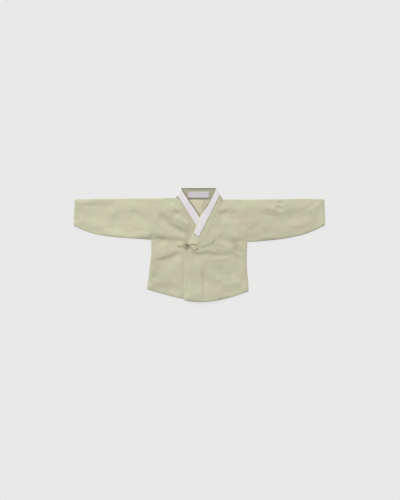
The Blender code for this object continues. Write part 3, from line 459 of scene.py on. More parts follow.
def silhouette():
    """Give the garment's outline from above as one closed path."""
    runs = (
        (lambda x: (x, shoulder_y(x)), LEFT_TURN["foot"][0], LEFT_CUFF_TOP_X, 20),
        (lambda x: (x, underarm_y(x, LEFT_UNDERARM)), SPAN / 2.0, LEFT_UNDERARM["x"], 24),
        (lambda y: (left_side_x(y), y), LEFT_ARMPIT_Y, LEFT_SIDE_ROWS[-1][0], 12),
        (lambda x: (x, hem_y(x, OUTER_HEM)), LEFT_SIDE_ROWS[-1][1], FRONT_EDGE_ROWS[2][1], 24),
        (lambda x: (x, hem_y(x, INNER_HEM)), FRONT_EDGE_ROWS[2][1], RIGHT_SIDE_ROWS[-1][1], 16),
        (lambda y: (right_side_x(y), y), RIGHT_SIDE_ROWS[-1][0], RIGHT_ARMPIT_Y, 12),
        (lambda x: (x, underarm_y(x, RIGHT_UNDERARM)), RIGHT_UNDERARM["x"], -SPAN / 2.0, 24),
        (lambda x: (x, shoulder_y(x)), RIGHT_CUFF_TOP_X, RIGHT_TURN["foot"][0], 20),
    )
    path = [LEFT_TURN["top"]]
    for point, start, end, count in runs:
        path += [point(place) for place in np.linspace(start, end, count)]
    path = np.array(path + [RIGHT_TURN["top"], LEFT_TURN["top"]], dtype=float)
    moved = np.linalg.norm(np.diff(path, axis=0), axis=1) > SAME_POINT
    return path[np.concatenate(([True], moved))]


def nearest_on_path(x, y, path):
    """Give each point's distance to a path, its share of the way along, and its share of left."""
    path = np.asarray(path, dtype=float)
    x, y = np.broadcast_arrays(np.asarray(x, dtype=float), np.asarray(y, dtype=float))
    blocks = max(1, x.size // BLOCK)
    pairs = zip(np.array_split(x.ravel(), blocks), np.array_split(y.ravel(), blocks))
    parts = [nearest_in_block(block_x, block_y, path) for block_x, block_y in pairs]
    return tuple(np.concatenate(found).reshape(x.shape) for found in zip(*parts))


def nearest_in_block(x, y, path):
    """Do the same for a few thousand points."""
    start = path[:-1]
    run = path[1:] - start
    length = np.hypot(run[:, 0], run[:, 1])
    offset = np.stack((x, y), axis=-1)[..., None, :] - start
    share = np.clip((offset * run).sum(axis=-1) / length ** 2, 0.0, 1.0)
    gaps = np.linalg.norm(offset - share[..., None] * run, axis=-1)
    aside = (run[:, 0] * offset[..., 1] - run[:, 1] * offset[..., 0]) / length
    nearest = gaps.argmin(axis=-1)
    place = nearest[..., None]
    before = np.concatenate(([0.0], np.cumsum(length)))[nearest]
    along = before + np.take_along_axis(share, place, -1)[..., 0] * length[nearest]
    gap = gaps.min(axis=-1)
    left = 0.5 + 0.5 * np.take_along_axis(aside, place, -1)[..., 0] / np.maximum(gap, SAME_POINT)
    return gap, along / length.sum(), np.clip(left, 0.0, 1.0)


def inside_polygon(x, y, polygon):
    """Tell which points lie inside a closed polygon."""
    inside = np.zeros(np.shape(x), dtype=bool)
    for (x0, y0), (x1, y1) in zip(polygon[:-1], polygon[1:]):
        if y0 != y1:
            crosses = (y0 > y) != (y1 > y)
            inside ^= crosses & (x < x0 + (y - y0) * (x1 - x0) / (y1 - y0))
    return inside


def beyond(x, y, outline):
    """Distance outside a closed outline, 0 inside it, and the share of the way along."""
    gap, along = nearest_on_path(x, y, outline)[:2]
    return np.where(inside_polygon(x, y, outline), 0.0, gap), along


def band_outline(rows):
    """Give the closed outline of one front's collar band."""
    return np.array([row[:2] for row in rows] + [row[2:] for row in reversed(rows)] + [rows[0][:2]])


OUTLINE = silhouette()
INNER_COLLAR_OUTLINE = band_outline(INNER_COLLAR_ROWS)
OUTER_COLLAR_OUTLINE = band_outline(OUTER_COLLAR_ROWS)


def edge_distance(x, y):
    """Distance from the garment's outline."""
    return nearest_on_path(x, y, OUTLINE)[0]


def fold_height(x, y, folds):
    """Sum of the folds, each a soft ridge or trough that dies out at its ends."""
    total = np.zeros(np.shape(x))
    for height, near, far, *path in folds:
        gap, along, left = nearest_on_path(x, y, path)
        fade = smooth_step(np.minimum(along, 1.0 - along) / FOLD_END_SHARE)
        ends = FOLD_END_LEVEL + (1.0 - FOLD_END_LEVEL) * fade
        total = total + height * ends * bell(gap, far + (near - far) * left)
    return total


def resting_height(x, y, folds):
    """Underside of a front layer: close to the back at the outline, crowned and folded within."""
    gap = edge_distance(x, y)
    lift = CROWN * ramp(gap, CROWN_RISE) + fold_height(x, y, folds) * np.tanh(gap / FOLD_FADE)
    return LAYER + np.maximum(lift, 0.0)


def inner_under(x, y):
    """Underside of the inner front, which lies flatter and plain where the outer front covers it."""
    past_edge = x - visible_inner_x(y)
    plain = resting_height(x, y, [])
    folded = plain + (resting_height(x, y, INNER_FOLDS) - plain) * (1.0 - ramp(past_edge, FOLDS_END))
    return LAYER + (folded - LAYER) * (1.0 - PRESSED_SHARE * ramp(past_edge, PRESS))


def lap_height(x, y):
    """Extra height of the outer front over the inner front and over the inner collar."""
    on_panel = 1.0 - ramp(x - inner_reach_x(y), PANEL_END)
    on_collar = 1.0 - ramp(beyond(x, y, INNER_COLLAR_OUTLINE)[0], COLLAR_END)
    edge_share = ramp(x - visible_inner_x(y), LAP_EDGE)
    return (LAYER + SLACK * edge_share) * on_panel + COLLAR_LAP * on_collar


def outer_under(x, y):
    """Underside of the outer front, nowhere lower than the inner front beneath it."""
    over_inner = 1.0 - ramp(x - inner_reach_x(y), UNDER_END)
    clear = inner_under(x, y) + (LAYER + LAP_SLACK) * over_inner
    return np.maximum(resting_height(x, y, OUTER_FOLDS) + lap_height(x, y), clear)


def ripple(x, y):
    """Slow unevenness that any laid cloth has."""
    total = np.zeros(np.shape(x))
    for length, degrees, height, phase in WAVES:
        angle = math.radians(degrees)
        along = x * math.cos(angle) + y * math.sin(angle)
        aside = y * math.cos(angle) - x * math.sin(angle)
        turn = ROUND * aside / (length * WAVE_BEND["scale"]) + phase * WAVE_BEND["phase"]
        bend = WAVE_BEND["height"] * np.sin(turn)
        total = total + height * np.sin(ROUND * along / length + phase + bend)
    return total


def seam_effect(gap, along, depth=SEAM_DIP["depth"]):
    """Dip at a seam and small uneven puckers beside it."""
    drift = PUCKER["drift_by"] * np.sin(ROUND * along / PUCKER["drift"])
    swell_by = (1.0 - PUCKER["least"]) / 2.0
    swell = 1.0 - swell_by + swell_by * np.sin(ROUND * along / PUCKER["swell"] + 1.0)
    beat = np.sin(ROUND * along / PUCKER["pitch"] + drift)
    puckers = PUCKER["height"] * swell * beat * bell(gap, PUCKER["reach"])
    return puckers - depth * bell(gap, SEAM_DIP["width"])


def edge_sink(x, y):
    """Share, from 0 to 1, by which the pressed edges of the garment round down."""
    return bell(edge_distance(x, y), EDGE_SINK["reach"])


def full_edge(gap, side_gap):
    """Extra height near a hem or a sleeve's underside, none at the seams that it runs into."""
    side = np.tanh(np.maximum(side_gap, 0.0) / FULL_EDGE["side"])
    return FULL_EDGE["height"] * bell(gap, FULL_EDGE["reach"]) * side


def front_detail(x, y, creases, outline, neck_x, seam_top_y):
    """Fine creases, unevenness and seams of a front, none beneath its collar band."""
    from_band, along = beyond(x, y, outline)
    from_edge = edge_distance(x, y)
    fine = (fold_height(x, y, creases) + ripple(x, y)) * np.tanh(from_edge / DETAIL_FADE)
    seams = seam_effect(abs(x - right_side_x(y)), y) * (y > RIGHT_ARMPIT_Y)
    seams = seams + seam_effect(abs(x - left_side_x(y)), y + SEAM_STARTS["left"]) * (y > LEFT_ARMPIT_Y)
    seams = seams + seam_effect(abs(x - neck_x(y)), y + SEAM_STARTS["neck"]) * (y < seam_top_y)
    length = np.linalg.norm(np.diff(outline, axis=0), axis=1).sum()
    seams = seams + seam_effect(from_band, along * length, 0.0) * (1.0 - smooth_step(1.0 - from_band))
    return fine * ramp(from_band, BESIDE_BAND) + seams * np.tanh(from_edge / SEAM_FADE)


def inner_rest(x, y):
    """Underside of the dressed inner front."""
    extra = front_detail(x, y, FINE_INNER, INNER_COLLAR_OUTLINE, inner_neck_x, INNER_SEAM["top"][1])
    extra = extra + full_edge(y - hem_y(x, INNER_HEM), x - right_side_x(y))
    extra = extra * (1.0 - ramp(x - visible_inner_x(y), FOLDS_END))
    beside = x - front_edge_x(y) - FREE_EDGE["hollow_at"]
    hollow = FREE_EDGE["hollow"] * bell(beside, FREE_EDGE["width"]) * ramp(-y, HOLLOW_START)
    return np.maximum(inner_under(x, y) + extra - hollow, LAYER)


def outer_rest(x, y):
    """Underside of the dressed outer front."""
    extra = front_detail(x, y, FINE_OUTER, OUTER_COLLAR_OUTLINE, outer_neck_x, OUTER_SEAM["top"][1])
    extra = extra + full_edge(y - hem_y(x, OUTER_HEM), left_side_x(y) - x)
    covered = x < inner_reach_x(y) + COVER_MARGIN
    return np.maximum(outer_under(x, y) + extra, np.where(covered, inner_under(x, y), 0.0) + LAYER)


def sleeve_rest(x, y):
    """Underside of a dressed sleeve's upper layer."""
    from_edge = edge_distance(x, y)
    extra = (fold_height(x, y, FINE_SLEEVES) + ripple(x, y)) * np.tanh(from_edge / DETAIL_FADE)
    side = np.where(x < 0.0, abs(x - right_side_x(y)), abs(x - left_side_x(y)))
    extra = extra + seam_effect(side, y + SEAM_STARTS["sleeve"]) * np.tanh(from_edge / SEAM_FADE)
    lowest = np.where(x < 0.0, underarm_y(x, RIGHT_UNDERARM), underarm_y(x, LEFT_UNDERARM))
    plain = resting_height(x, y, SLEEVE_FOLDS + INNER_FOLDS + OUTER_FOLDS)
    return np.maximum(plain + extra + full_edge(y - lowest, side), LAYER)


def pressed_creases(x, y):
    """Hollows in the underside of the cloth beneath, which is flat on the floor elsewhere."""
    slow = PRESSED_RIPPLE["share"] * np.maximum(ripple(x, y) - PRESSED_RIPPLE["above"], 0.0)
    hollows = fold_height(x, y, BACK_CREASES) + slow
    return np.clip(hollows, 0.0, HOLLOW_LIMIT) * np.tanh(edge_distance(x, y) / BACK_FADE)


def tone_and_painted_shade_at(points):
    """Give the cloth's tone at points, with its painted shade and painted light: 1 is its own colour."""
    total = np.ones(len(points))
    for x, y, reach_x, reach_y, strength in TONES_AND_PAINTED_SHADE_AND_LIGHT:
        away = ((points[:, 0] - x) / reach_x) ** 2 + ((points[:, 1] - y) / reach_y) ** 2
        total = total + strength * np.exp(-away)
    return total


def spaced(count, ease=0.0):
    """Give shares from 0 to 1, closer together near both ends as ease grows."""
    share = np.linspace(0.0, 1.0, count)
    return share - ease * np.sin(ROUND * share) / ROUND


def edge_curve(edge):
    """Take an edge as a curve, or as the place of a straight edge."""
    return edge if callable(edge) else lambda place: edge + 0.0 * place


def panel_grid(left, right, top, bottom, across, down):
    """Place a grid of points between side curves x(y) and end curves y(x)."""
    left, right, top, bottom = (edge_curve(edge) for edge in (left, right, top, bottom))
    across = np.asarray(across)[:, None]
    down = np.asarray(down)[None, :]
    y = top(0.0) * (1.0 - down) + bottom(0.0) * down + 0.0 * across
    for _ in range(GRID_ROUNDS):
        x = left(y) * (1.0 - across) + right(y) * across
        y = top(x) * (1.0 - down) + bottom(x) * down
    return x, y


def row_reader(rows):
    """Give a function of the row number for the two edges in a table of rows."""
    columns = [smooth_curve(list(enumerate(column))) for column in zip(*rows)]

    def read(number):
        values = [float(column(number)) for column in columns]
        return np.array(values[:2]), np.array(values[2:])

    return read


def unit(vectors):
    """Scale vectors to length 1."""
    return vectors / np.maximum(np.linalg.norm(vectors, axis=-1, keepdims=True), 1e-9)


def quads(*corners):
    """Join rows of corners into quads."""
    return np.stack(corners, axis=-1).reshape(-1, 4)


def grid_faces(columns, rows, first=0, turned=False, closed=False):
    """List the quads of a grid of points, closed round its second direction if asked."""
    i = np.arange(columns - 1)[:, None] * rows + first
    j = np.arange(rows if closed else rows - 1)[None, :]
    following = (j + 1) % rows
    found = quads(i + j, i + rows + j, i + rows + following, i + following)
    return found[:, ::-1] if turned else found


def make_piece(name, points, faces, uv, cloths, inside_count=0, sharp=180.0, tones=1.0):
    """Make one mesh from millimetres. Its last faces, inside_count of them, show the last cloth."""
    mesh = bpy.data.meshes.new(name)
    mesh.from_pydata((points * METRES).tolist(), [], faces)
    for cloth in cloths:
        mesh.materials.append(cloth)
    cloth_of_face = np.zeros(len(faces), dtype=np.int32)
    cloth_of_face[len(faces) - inside_count:] = len(cloths) - 1
    mesh.polygons.foreach_set("material_index", cloth_of_face)
    work = bmesh.new()
    work.from_mesh(mesh)
    bmesh.ops.recalc_face_normals(work, faces=work.faces)
    work.to_mesh(mesh)
    work.free()
    corners = np.empty(len(mesh.loops), dtype=np.int32)
    mesh.loops.foreach_get("vertex_index", corners)
    layer = mesh.uv_layers.new(name="cut")
    layer.data.foreach_set("uv", (uv[corners] * METRES).ravel())
    # The tone attribute holds the cloth's uneven tone together with the painted shade and painted light of
    # the tone spots and the collar band
    tone = mesh.attributes.new("tone", "FLOAT", "POINT")
    tone.data.foreach_set("value", (tones * tone_and_painted_shade_at(points)).astype(np.float32))
    mesh.shade_smooth()
    mesh.set_sharp_from_angle(angle=math.radians(sharp))
    made = bpy.data.objects.new(name, mesh)
    bpy.context.collection.objects.link(made)
    return made


def shell(name, over, under, uv, cloths, sharp=50.0, tones=None):
    """Close an outer and an inner grid into a thin cloth with a rounded rim."""
    columns, rows = over.shape[:2]
    half = columns * rows
    rim = [(i, 0) for i in range(columns)]
    rim += [(columns - 1, j) for j in range(1, rows)]
    rim += [(i, rows - 1) for i in range(columns - 2, -1, -1)]
    rim += [(0, j) for j in range(rows - 2, 0, -1)]
    at = tuple(np.array(rim).T)
    inner = tuple(np.clip(np.array(rim), 1, [columns - 2, rows - 2]).T)
    outward = unit(over[at] - over[inner])
    middle = (over[at] + under[at]) / 2.0 + outward * RIM_BULGE
    middle[:, 2] = np.maximum(middle[:, 2], LEAST_RIM)
    edge = at[0] * rows + at[1]
    after = np.roll(edge, -1)
    rim_at = 2 * half + np.arange(len(edge))
    rim_after = np.roll(rim_at, -1)
    upper_rim = quads(edge, rim_at, rim_after, after)
    lower_rim = quads(rim_at, edge + half, after + half, rim_after)
    low = grid_faces(columns, rows, half, True)
    faces = np.concatenate((grid_faces(columns, rows), upper_rim, lower_rim, low)).tolist()
    points = np.concatenate((over.reshape(-1, 3), under.reshape(-1, 3), middle))
    tones = np.ones((columns, rows)) if tones is None else tones
    all_uv = np.concatenate((uv.reshape(-1, 2), uv.reshape(-1, 2), uv[at]))
    all_tones = np.concatenate((tones.ravel(), tones.ravel(), tones[at]))
    return make_piece(name, points, faces, all_uv, cloths, len(low), sharp, all_tones)


def open_tube(name, over, under, uv, cloths):
    """Close outer and inner rings into one open tube with rounded ends."""
    stations, sides = over.shape[:2]
    half = stations * sides
    points = [over.reshape(-1, 3), under.reshape(-1, 3)]
    all_uv = [uv.reshape(-1, 2), uv.reshape(-1, 2)]
    faces = [grid_faces(stations, sides, closed=True)]
    for number, (station, beside) in enumerate(((0, 1), (stations - 1, stations - 2))):
        outward = unit(over[station] - over[beside])
        points.append((over[station] + under[station]) / 2.0 + outward * RIM_BULGE)
        all_uv.append(uv[station])
        ring = station * sides + np.arange(sides)
        middle = 2 * half + number * sides + np.arange(sides)
        ring_next, middle_next = np.roll(ring, -1), np.roll(middle, -1)
        faces.append(quads(ring, middle, middle_next, ring_next))
        faces.append(quads(middle, ring + half, ring_next + half, middle_next))
    inside = grid_faces(stations, sides, half, True, closed=True)
    faces = np.concatenate((*faces, inside)).tolist()
    return make_piece(name, np.concatenate(points), faces, np.concatenate(all_uv), cloths, len(inside), 50.0)


def lengths_along(path):
    """Give the length of a path up to each of its points."""
    steps = np.linalg.norm(np.diff(path, axis=0), axis=1)
    return np.concatenate(([0.0], np.cumsum(steps)))


def cord(path, radius, sides=12, closed=True):
    """Give points, faces and cut of a round cord along a path of points."""
    path = np.asarray(path, dtype=float)
    ahead = np.gradient(path, axis=0)
    if closed:
        ahead = np.roll(path, -1, axis=0) - np.roll(path, 1, axis=0)
    ahead = unit(ahead)
    side = unit(np.cross(ahead, (0.0, 0.0, 1.0)) + 1e-6)
    for _ in range(2 if closed else 0):
        side = unit(side - (side * ahead).sum(axis=-1, keepdims=True) * ahead)
    rise = np.cross(side, ahead)
    turn = np.linspace(0.0, ROUND, sides, endpoint=False)[None, :, None]
    radius = np.broadcast_to(np.asarray(radius, dtype=float), (len(path),))[:, None, None]
    rings = path[:, None] + radius * (np.cos(turn) * side[:, None] + np.sin(turn) * rise[:, None])
    around = np.arange(sides) / sides * ROUND * CORD_RADIUS
    uv = np.stack(np.broadcast_arrays(lengths_along(path)[:, None], around[None, :]), axis=-1)
    faces = grid_faces(len(path), sides, closed=True).tolist()
    first, last = np.arange(sides), np.arange(sides) + (len(path) - 1) * sides
    if closed:
        faces += quads(last, first, np.roll(first, -1), np.roll(last, -1)).tolist()
    else:
        faces += [first.tolist(), last.tolist()]
    return rings.reshape(-1, 3), faces, uv.reshape(-1, 2)


def cord_piece(name, cords, cloth):
    """Join several cords into one piece."""
    faces, first = [], 0
    for points, own_faces, _ in cords:
        faces += [[first + corner for corner in face] for face in own_faces]
        first += len(points)
    points, uv = (np.concatenate([made[part] for made in cords]) for part in (0, 2))
    return make_piece(name, points, faces, uv, (cloth,))


# Looks: linear colours, and sizes in millimetres
SILK_GREEN = (0.565, 0.585, 0.412)
SILK_ROSE = (0.615, 0.572, 0.420)
SILK_DEEP = (0.490, 0.485, 0.325)
BLOSSOM = dict(pitch_x=58.0, pitch_y=23.0, size=3.9, petals=5, eye=0.22, depth=0.4, gloss=0.1)
# How quickly a petal's edge and its eye fade, per millimetre
BLOSSOM_EDGES = (1.6, 2.5)
WEAVE_HEIGHT = 0.05
CORD_ROLL = (2.4, 0.8)


class Looks:
    """A material, with small helpers that add and join its shader nodes."""

    def __init__(self, name):
        self.material = bpy.data.materials.new(name)
        self.material.use_nodes = True
        self.tree = self.material.node_tree
        self.shader = self.tree.nodes["Principled BSDF"]

    def feed(self, socket, value):
        """Link a socket, or set it to a colour or a number."""
        if isinstance(value, bpy.types.NodeSocket):
            self.tree.links.new(value, socket)
        else:
            socket.default_value = (*value, 1.0) if isinstance(value, tuple) else value

    def shade(self, **values):
        """Feed the shader's sockets, named with _ for a space."""
        for key, value in values.items():
            self.feed(self.shader.inputs[key.replace("_", " ")], value)

    def node(self, kind, settings, *sockets, **values):
        """Add a node with its settings, its first sockets in order and others by name."""
        made = self.tree.nodes.new(kind)
        for key, value in settings.items():
            setattr(made, key, value)
        for socket, value in zip(made.inputs, sockets):
            self.feed(socket, value)
        for key, value in values.items():
            self.feed(made.inputs[key.replace("_", " ")], value)
        return made.outputs

    def maths(self, operation, *values, clamp=False):
        return self.node("ShaderNodeMath", dict(operation=operation, use_clamp=clamp), *values)[0]

    def times(self, first, second, clamp=False):
        return self.maths("MULTIPLY", first, second, clamp=clamp)

    def plus(self, first, second):
        return self.maths("ADD", first, second)

    def minus(self, first, second):
        return self.maths("SUBTRACT", first, second)

    def mix(self, share, first, second):
        made = self.tree.nodes.new("ShaderNodeMix")
        made.data_type = "RGBA"
        for place, value in ((0, share), (6, first), (7, second)):
            self.feed(made.inputs[place], value)
        return made.outputs[2]

    def cut_millimetres(self):
        """The place on the cut in millimetres, and its two parts."""
        cut = self.node("ShaderNodeUVMap", dict(uv_map="cut"))[0]
        place = self.node("ShaderNodeVectorMath", dict(operation="SCALE"), cut, Scale=1.0 / METRES)[0]
        return place, *self.node("ShaderNodeSeparateXYZ", {}, place)[:2]

    def noise(self, place, size, detail, roughness=0.5):
        """Noise from 0 to 1 with blots of about the given size in millimetres."""
        values = dict(Vector=place, Scale=1.0 / size, Detail=detail, Roughness=roughness)
        return self.node("ShaderNodeTexNoise", dict(noise_dimensions="2D"), **values)[0]

    def patches(self, noise, low, high, most=1.0):
        """Spread noise between two levels out to a share."""
        return self.node("ShaderNodeMapRange", {}, Value=noise, From_Min=low, From_Max=high, To_Max=most)[0]

    def toned(self, base):
        """The colour multiplied by the cloth's slow tone, which holds painted shade and painted light as well
        as its own unevenness.
        """
        tone = self.node("ShaderNodeAttribute", dict(attribute_name="tone"))["Fac"]
        return self.node("ShaderNodeVectorMath", dict(operation="SCALE"), base, Scale=tone)[0]

    def relief(self, height, strength, distance):
        """Raise the surface by a height of so many millimetres."""
        values = dict(Height=height, Strength=strength, Distance=distance * METRES)
        self.shade(Normal=self.node("ShaderNodeBump", {}, **values)[0])

    def weave(self, u, v, pitch, strength):
        """Crossed threads as a fine relief."""
        warp, weft = (self.maths("SINE", self.times(way, ROUND / pitch)) for way in (u, v))
        self.relief(self.times(warp, weft), strength, WEAVE_HEIGHT)

    def blossoms(self, u, v):
        """Five-petalled blossoms in staggered rows: 1 on a petal and 0 off it."""
        size = BLOSSOM["size"]
        row = self.maths("DIVIDE", v, BLOSSOM["pitch_y"])
        odd = self.maths("MODULO", self.maths("ABSOLUTE", self.maths("FLOOR", row)), 2.0)
        column = self.plus(self.maths("DIVIDE", u, BLOSSOM["pitch_x"]), self.times(odd, 0.5))
        across = self.times(self.minus(self.maths("FRACT", column), 0.5), BLOSSOM["pitch_x"])
        up = self.times(self.minus(self.maths("FRACT", row), 0.5), BLOSSOM["pitch_y"])
        radius = self.maths("SQRT", self.plus(self.times(across, across), self.times(up, up)))
        angle = self.times(self.maths("ARCTAN2", across, up), BLOSSOM["petals"] / 2.0)
        petal = self.maths("ABSOLUTE", self.maths("COSINE", angle))
        reach = self.times(self.plus(self.times(petal, 0.5), 0.5), size)
        inside = self.times(self.minus(reach, radius), BLOSSOM_EDGES[0], clamp=True)
        eye = self.times(self.minus(radius, size * BLOSSOM["eye"]), BLOSSOM_EDGES[1], clamp=True)
        return self.times(inside, eye)


def silk_look(name, tone=1.0, rough=0.46):
    """Pale celadon silk: slow green and rose tones, faint woven blossoms, fine weave."""
    looks = Looks(name)
    place, u, v = looks.cut_millimetres()
    green, rose, deep = (tuple(tone * value for value in part) for part in (SILK_GREEN, SILK_ROSE, SILK_DEEP))
    slow = looks.noise(place, size=52.0, detail=2.0, roughness=0.55)
    spots = looks.noise(place, size=19.0, detail=3.0, roughness=0.6)
    base = looks.mix(looks.patches(slow, low=0.3, high=0.7), green, rose)
    base = looks.mix(looks.patches(spots, low=0.45, high=0.8, most=0.18), base, deep)
    flowers = looks.blossoms(u, v)
    base = looks.mix(looks.times(flowers, BLOSSOM["depth"]), base, deep)
    gloss = looks.times(flowers, BLOSSOM["gloss"])
    looks.shade(Base_Color=looks.toned(base), Roughness=looks.minus(rough, gloss))
    looks.weave(u, v, pitch=0.62, strength=0.12)
    looks.shade(Sheen_Weight=0.12, Sheen_Roughness=0.4, Specular_IOR_Level=0.35)
    return looks.material


def cloth_look(name, colour, rough, pitch, strength, shade, toned=False):
    """Plain woven cloth of one colour with a little unevenness."""
    looks = Looks(name)
    place, u, v = looks.cut_millimetres()
    darker = tuple(value * (1.0 - shade) for value in colour)
    base = looks.mix(looks.noise(place, size=24.0, detail=3.0), darker, colour)
    looks.shade(Base_Color=looks.toned(base) if toned else base, Roughness=rough, Specular_IOR_Level=0.3)
    looks.weave(u, v, pitch, strength)
    return looks.material


def cord_look(name, groove, crest):
    """Rolled silk cord, with the slanting line of its roll, painted darker in its grooves and lighter on its
    crests.
    """
    looks = Looks(name)
    _, u, v = looks.cut_millimetres()
    roll = looks.maths("SINE", looks.plus(looks.times(u, CORD_ROLL[0]), looks.times(v, CORD_ROLL[1])))
    share = looks.times(looks.plus(roll, 1.0), 0.5)
    # Painted shade in the roll's grooves and painted light on its crests, over the relief of the roll
    looks.shade(Base_Color=looks.mix(share, groove, crest), Roughness=0.5)
    looks.relief(roll, strength=0.4, distance=0.12)
    return looks.material


silk = silk_look("silk")
# The silk's wrong side, rougher and duller, made darker as well as painted shade for the back of the collar
# standing in shade
silk_inside_painted_shade = silk_look("silk_inside_painted_shade", tone=0.82, rough=0.6)
LINING_CREAM = (0.70, 0.63, 0.475)
lining = cloth_look("lining", LINING_CREAM, rough=0.55, pitch=0.55, strength=0.15, shade=0.1, toned=True)
white = cloth_look("strip", (0.80, 0.765, 0.785), rough=0.62, pitch=0.4, strength=0.08, shade=0.03)
tape = cloth_look("label", (0.72, 0.69, 0.71), rough=0.5, pitch=0.8, strength=0.25, shade=0.05)
# The knot's cord is the loops' cord, painted darker as shade in the knot's crevices
knot_cord_painted_shade = cord_look("cord", (0.30, 0.27, 0.165), (0.46, 0.42, 0.285))
loose = cord_look("loose_cord", (0.56, 0.515, 0.35), (0.72, 0.665, 0.48))
thread = cloth_look("thread", (0.80, 0.79, 0.76), rough=0.5, pitch=0.5, strength=0.0, shade=0.02)


def place_piece(made, slot, *nodes):
    """Let a piece ride on the jacket and stand for its solids, which it hides. Its slot is not used."""
    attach(made, "root")
    if nodes:
        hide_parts(*nodes)


def edge_shares(count, length):
    """Give shares of a length from 0 to 1, with close ones first for the curled edge."""
    start = CURL_START / length
    first = [step / length for step in CURL_STEPS]
    return np.concatenate((first, start + (1.0 - start) * spaced(count, 0.2)))


def faces_of(x, y, under):
    """Give the outer and the inner face of a cloth over a plan grid."""
    height = under(x, y)
    sink = edge_sink(x, y)
    over = np.stack((x, y, height + WALL - EDGE_SINK["face"] * sink), axis=-1)
    return over, np.stack((x, y, height - EDGE_SINK["back"] * sink), axis=-1)


def curl_top(over, under):
    """Round the first rows of a panel down over the shoulder line."""
    for row, (over_in, over_z, under_in, under_z) in enumerate(reversed(CURL_ROWS)):
        for face, inset, height in ((over, over_in, over_z), (under, under_in, under_z)):
            face[:, row, 1] = shoulder_y(face[:, row, 0]) - inset
            face[:, row, 2] = height


def curl_side(over, under, column, side, armpit_y, outward):
    """Round a panel's side columns down over the side seam x = side(y), below the armpit."""
    step = 1 if column == 0 else -1
    for row, (over_in, over_z, under_in, under_z) in enumerate(reversed(CURL_ROWS)):
        place = column + step * row
        share = smooth_step((armpit_y - over[place, :, 1]) / ARMPIT_RUN)
        for face, inset, height in ((over, over_in, over_z), (under, under_in, under_z)):
            x, z = face[place, :, 0], face[place, :, 2]
            face[place, :, 0] = x + share * (side(face[place, :, 1]) - outward * inset - x)
            face[place, :, 2] = z + share * (height - z)


def flat_cut(x, y, turn=0.0, shift=(0.0, 0.0)):
    """Lay the cut of a panel out as it lies, turned and moved so that its weave is its own."""
    angle = math.radians(turn)
    u = x * math.cos(angle) - y * math.sin(angle) + shift[0]
    v = x * math.sin(angle) + y * math.cos(angle) + shift[1]
    return np.stack((u, v), axis=-1)


def make_front(node, rest, edges, hem, across, side, cut):
    """Make a front, curled down at the shoulder and at its side seam."""
    down = edge_shares(FRONT_GRID[1], PANEL_LENGTH)
    x, y = panel_grid(*edges, shoulder_y, lambda x: hem_y(x, hem), across, down)
    over, under = faces_of(x, y, rest)
    curl_top(over, under)
    curl_side(over, under, *side)
    place_piece(shell("cloth_" + node, over, under, flat_cut(x, y, *cut), (silk, lining)), "silk", node)


def make_fronts():
    """Make both fronts and their gussets."""
    across = edge_shares(FRONT_GRID[0], PANEL_WIDTH)
    edges = (lambda y: right_side_x(y) + HALF_GAP, lambda y: inner_neck_x(y) - HALF_GAP)
    side = (0, right_side_x, RIGHT_ARMPIT_Y, -1.0)
    make_front("front_inner", inner_rest, edges, INNER_HEM, across, side, (1.5, (11.0, 7.0)))

    left, top = (lambda y: inner_neck_x(y) + HALF_GAP), smooth_curve(INNER_SEOP_TOP_ROWS)
    shares = spaced(INNER_SEOP_GRID[0]), spaced(INNER_SEOP_GRID[1], 0.3)
    x, y = panel_grid(left, inner_edge_x, top, lambda x: hem_y(x, INNER_HEM), *shares)
    made = shell("cloth_seop_inner", *faces_of(x, y, inner_rest), flat_cut(x, y, -3.0), (silk, lining))
    place_piece(made, "silk", "seop_inner")

    edges = (lambda y: outer_neck_x(y) + HALF_GAP, lambda y: left_side_x(y) - HALF_GAP)
    side = (len(across) - 1, left_side_x, LEFT_ARMPIT_Y, 1.0)
    make_front("front_outer", outer_rest, edges, OUTER_HEM, 1.0 - across[::-1], side, (-1.0, (0.0, 3.0)))

    right, top = (lambda y: outer_neck_x(y) - HALF_GAP), smooth_curve(OUTER_SEOP_TOP_ROWS)
    across = np.linspace(0.0, 1.0, OUTER_SEOP_GRID[0]) ** SEOP_EDGE_POWER
    down = spaced(OUTER_SEOP_GRID[1], 0.3)
    x, y = panel_grid(front_edge_x, right, top, lambda x: hem_y(x, OUTER_HEM), across, down)
    over, under = faces_of(x, y, outer_rest)
    inside = x - front_edge_x(y)
    groove = FREE_EDGE["groove"] * bell(inside - FREE_EDGE["groove_at"], FREE_EDGE["reach"])
    over[..., 2] -= FREE_EDGE["drop"] * bell(inside, FREE_EDGE["reach"]) + groove
    made = shell("cloth_seop_outer", over, under, flat_cut(x, y, 4.0, (9.0, 0.0)), (silk, lining))
    place_piece(made, "silk", "seop_outer")


def back_top_y(x):
    """Top edge of the back: inside the shoulder edge, and up under the collar at the neck."""
    inset = shoulder_y(x) - BACK_EDGE_INSET
    middle = (LEFT_TURN["foot"][0] + RIGHT_TURN["foot"][0]) / 2.0
    return inset + (BACK_NECK_Y - inset) * (1.0 - ramp(abs(x - middle), BACK_NECK))


